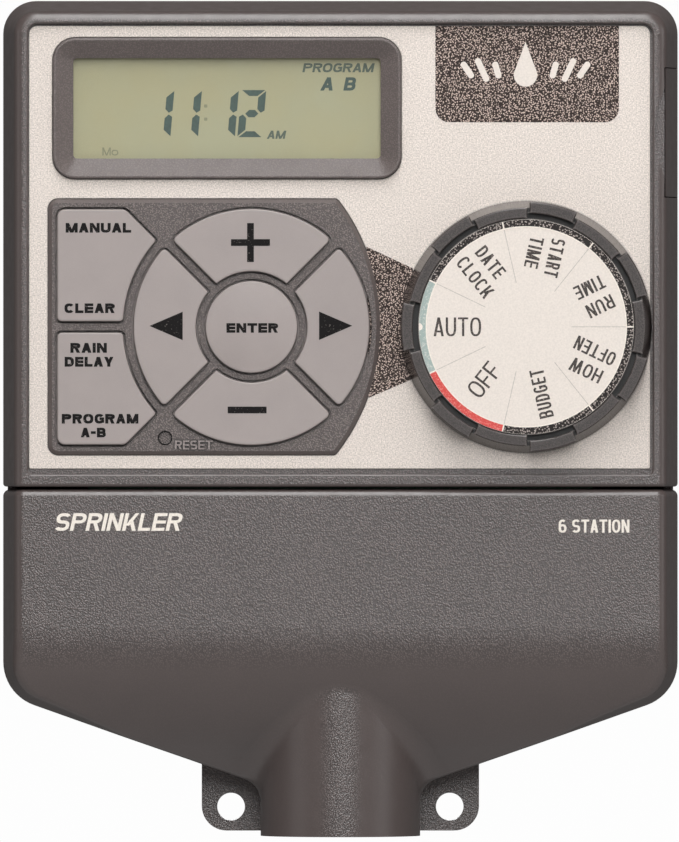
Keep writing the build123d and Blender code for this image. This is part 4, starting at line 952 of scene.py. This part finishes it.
def floor():
    points = [(x * FLOOR_HALF, y * FLOOR_HALF, FLOOR_Z) for x, y in ((-1, -1), (1, -1), (1, 1), (-1, 1))]
    mesh = bpy.data.meshes.new("floor")
    mesh.from_pydata(points, [], [(0, 1, 2, 3)])
    shader = Shader("floor_paint", (0.82, 0.82, 0.81), 0.7, emission_strength=0.62)
    shader.set("Emission Color", (1.0, 1.0, 1.0, 1.0))
    shader.set("Base Color", shader.shade(shader.spread(shader.noise(400.0, 3.0), 0.98, 1.02, 0.3, 0.7)))
    mesh.materials.append(shader.material)
    made = bpy.data.objects.new("floor", mesh)
    made.visible_diffuse = False
    made.visible_glossy = False
    bpy.context.scene.collection.objects.link(made)


def softbox(name, place, target, width, height, power):
    """A soft rectangular lamp that the camera doesn't see."""
    lamp = bpy.data.lights.new(name, "AREA")
    lamp.shape = "RECTANGLE"
    lamp.size = width
    lamp.size_y = height
    lamp.energy = power
    made = bpy.data.objects.new(name, lamp)
    bpy.context.scene.collection.objects.link(made)
    made.location = place
    made.visible_camera = False
    made.rotation_euler = (Vector(target) - Vector(place)).to_track_quat("-Z", "Y").to_euler()


def studio():
    """A big soft light overhead in front, weaker ones round the object, and a dim room."""
    middle_of_object = (0, -0.03, 0)
    softbox("overhead", (0.0, -1.0, 1.25), middle_of_object, 0.6, 1.7, 24.0)
    softbox("fill", (0.2, -2.35, 0.55), middle_of_object, 1.0, 0.7, 17.0)
    softbox("back", (0.0, 1.9, 0.35), middle_of_object, 0.6, 0.6, 8.0)
    softbox("bounce", (0.1, -0.5, -0.31), (0.1, -0.45, 0.0), 2.0, 1.6, 3.5)
    softbox("right_side", (1.7, -0.9, 0.3), middle_of_object, 0.8, 0.8, 3.6)
    softbox("left_side", (-1.7, -0.9, 0.2), middle_of_object, 0.8, 0.8, 1.6)
    world = bpy.data.worlds.new("room")
    bpy.context.scene.world = world
    world.use_nodes = True
    tree = world.node_tree
    background = tree.nodes["Background"]
    background.inputs["Color"].default_value = (1.0, 1.0, 1.0, 1.0)
    seen = tree.nodes.new("ShaderNodeLightPath").outputs["Is Camera Ray"]
    level = tree.nodes.new("ShaderNodeMapRange")
    level.inputs["To Min"].default_value = ROOM_LIGHT
    level.inputs["To Max"].default_value = BACKGROUND_LEVEL
    tree.links.new(seen, level.inputs["Value"])
    tree.links.new(level.outputs["Result"], background.inputs["Strength"])
    bpy.context.scene.view_settings.view_transform = "Standard"


def camera():
    """Straight in front and far away. Its frame fits at framed_share of the object's depth."""
    distance = 5.0
    frame_height = 0.2058
    sensor = 36.0
    framed_share = 0.7
    off_centre_x = -0.00022
    off_centre_z = -0.00055
    lens = bpy.data.cameras.new("camera")
    lens.sensor_width = sensor
    lens.lens = sensor * (distance + cad_bounds[0][1] * framed_share) / frame_height
    made = bpy.data.objects.new("camera", lens)
    bpy.context.scene.collection.objects.link(made)
    made.location = (off_centre_x, -distance, off_centre_z)
    made.rotation_euler = (math.radians(90), 0, 0)
    bpy.context.scene.camera = made


paint_nodes()
badge()
pointer_print()
cover_words()
key_legends()
enter_legend()
reset_word()
display_content()
ring_prints()
dividers()
dial_words()
floor()
studio()
camera()
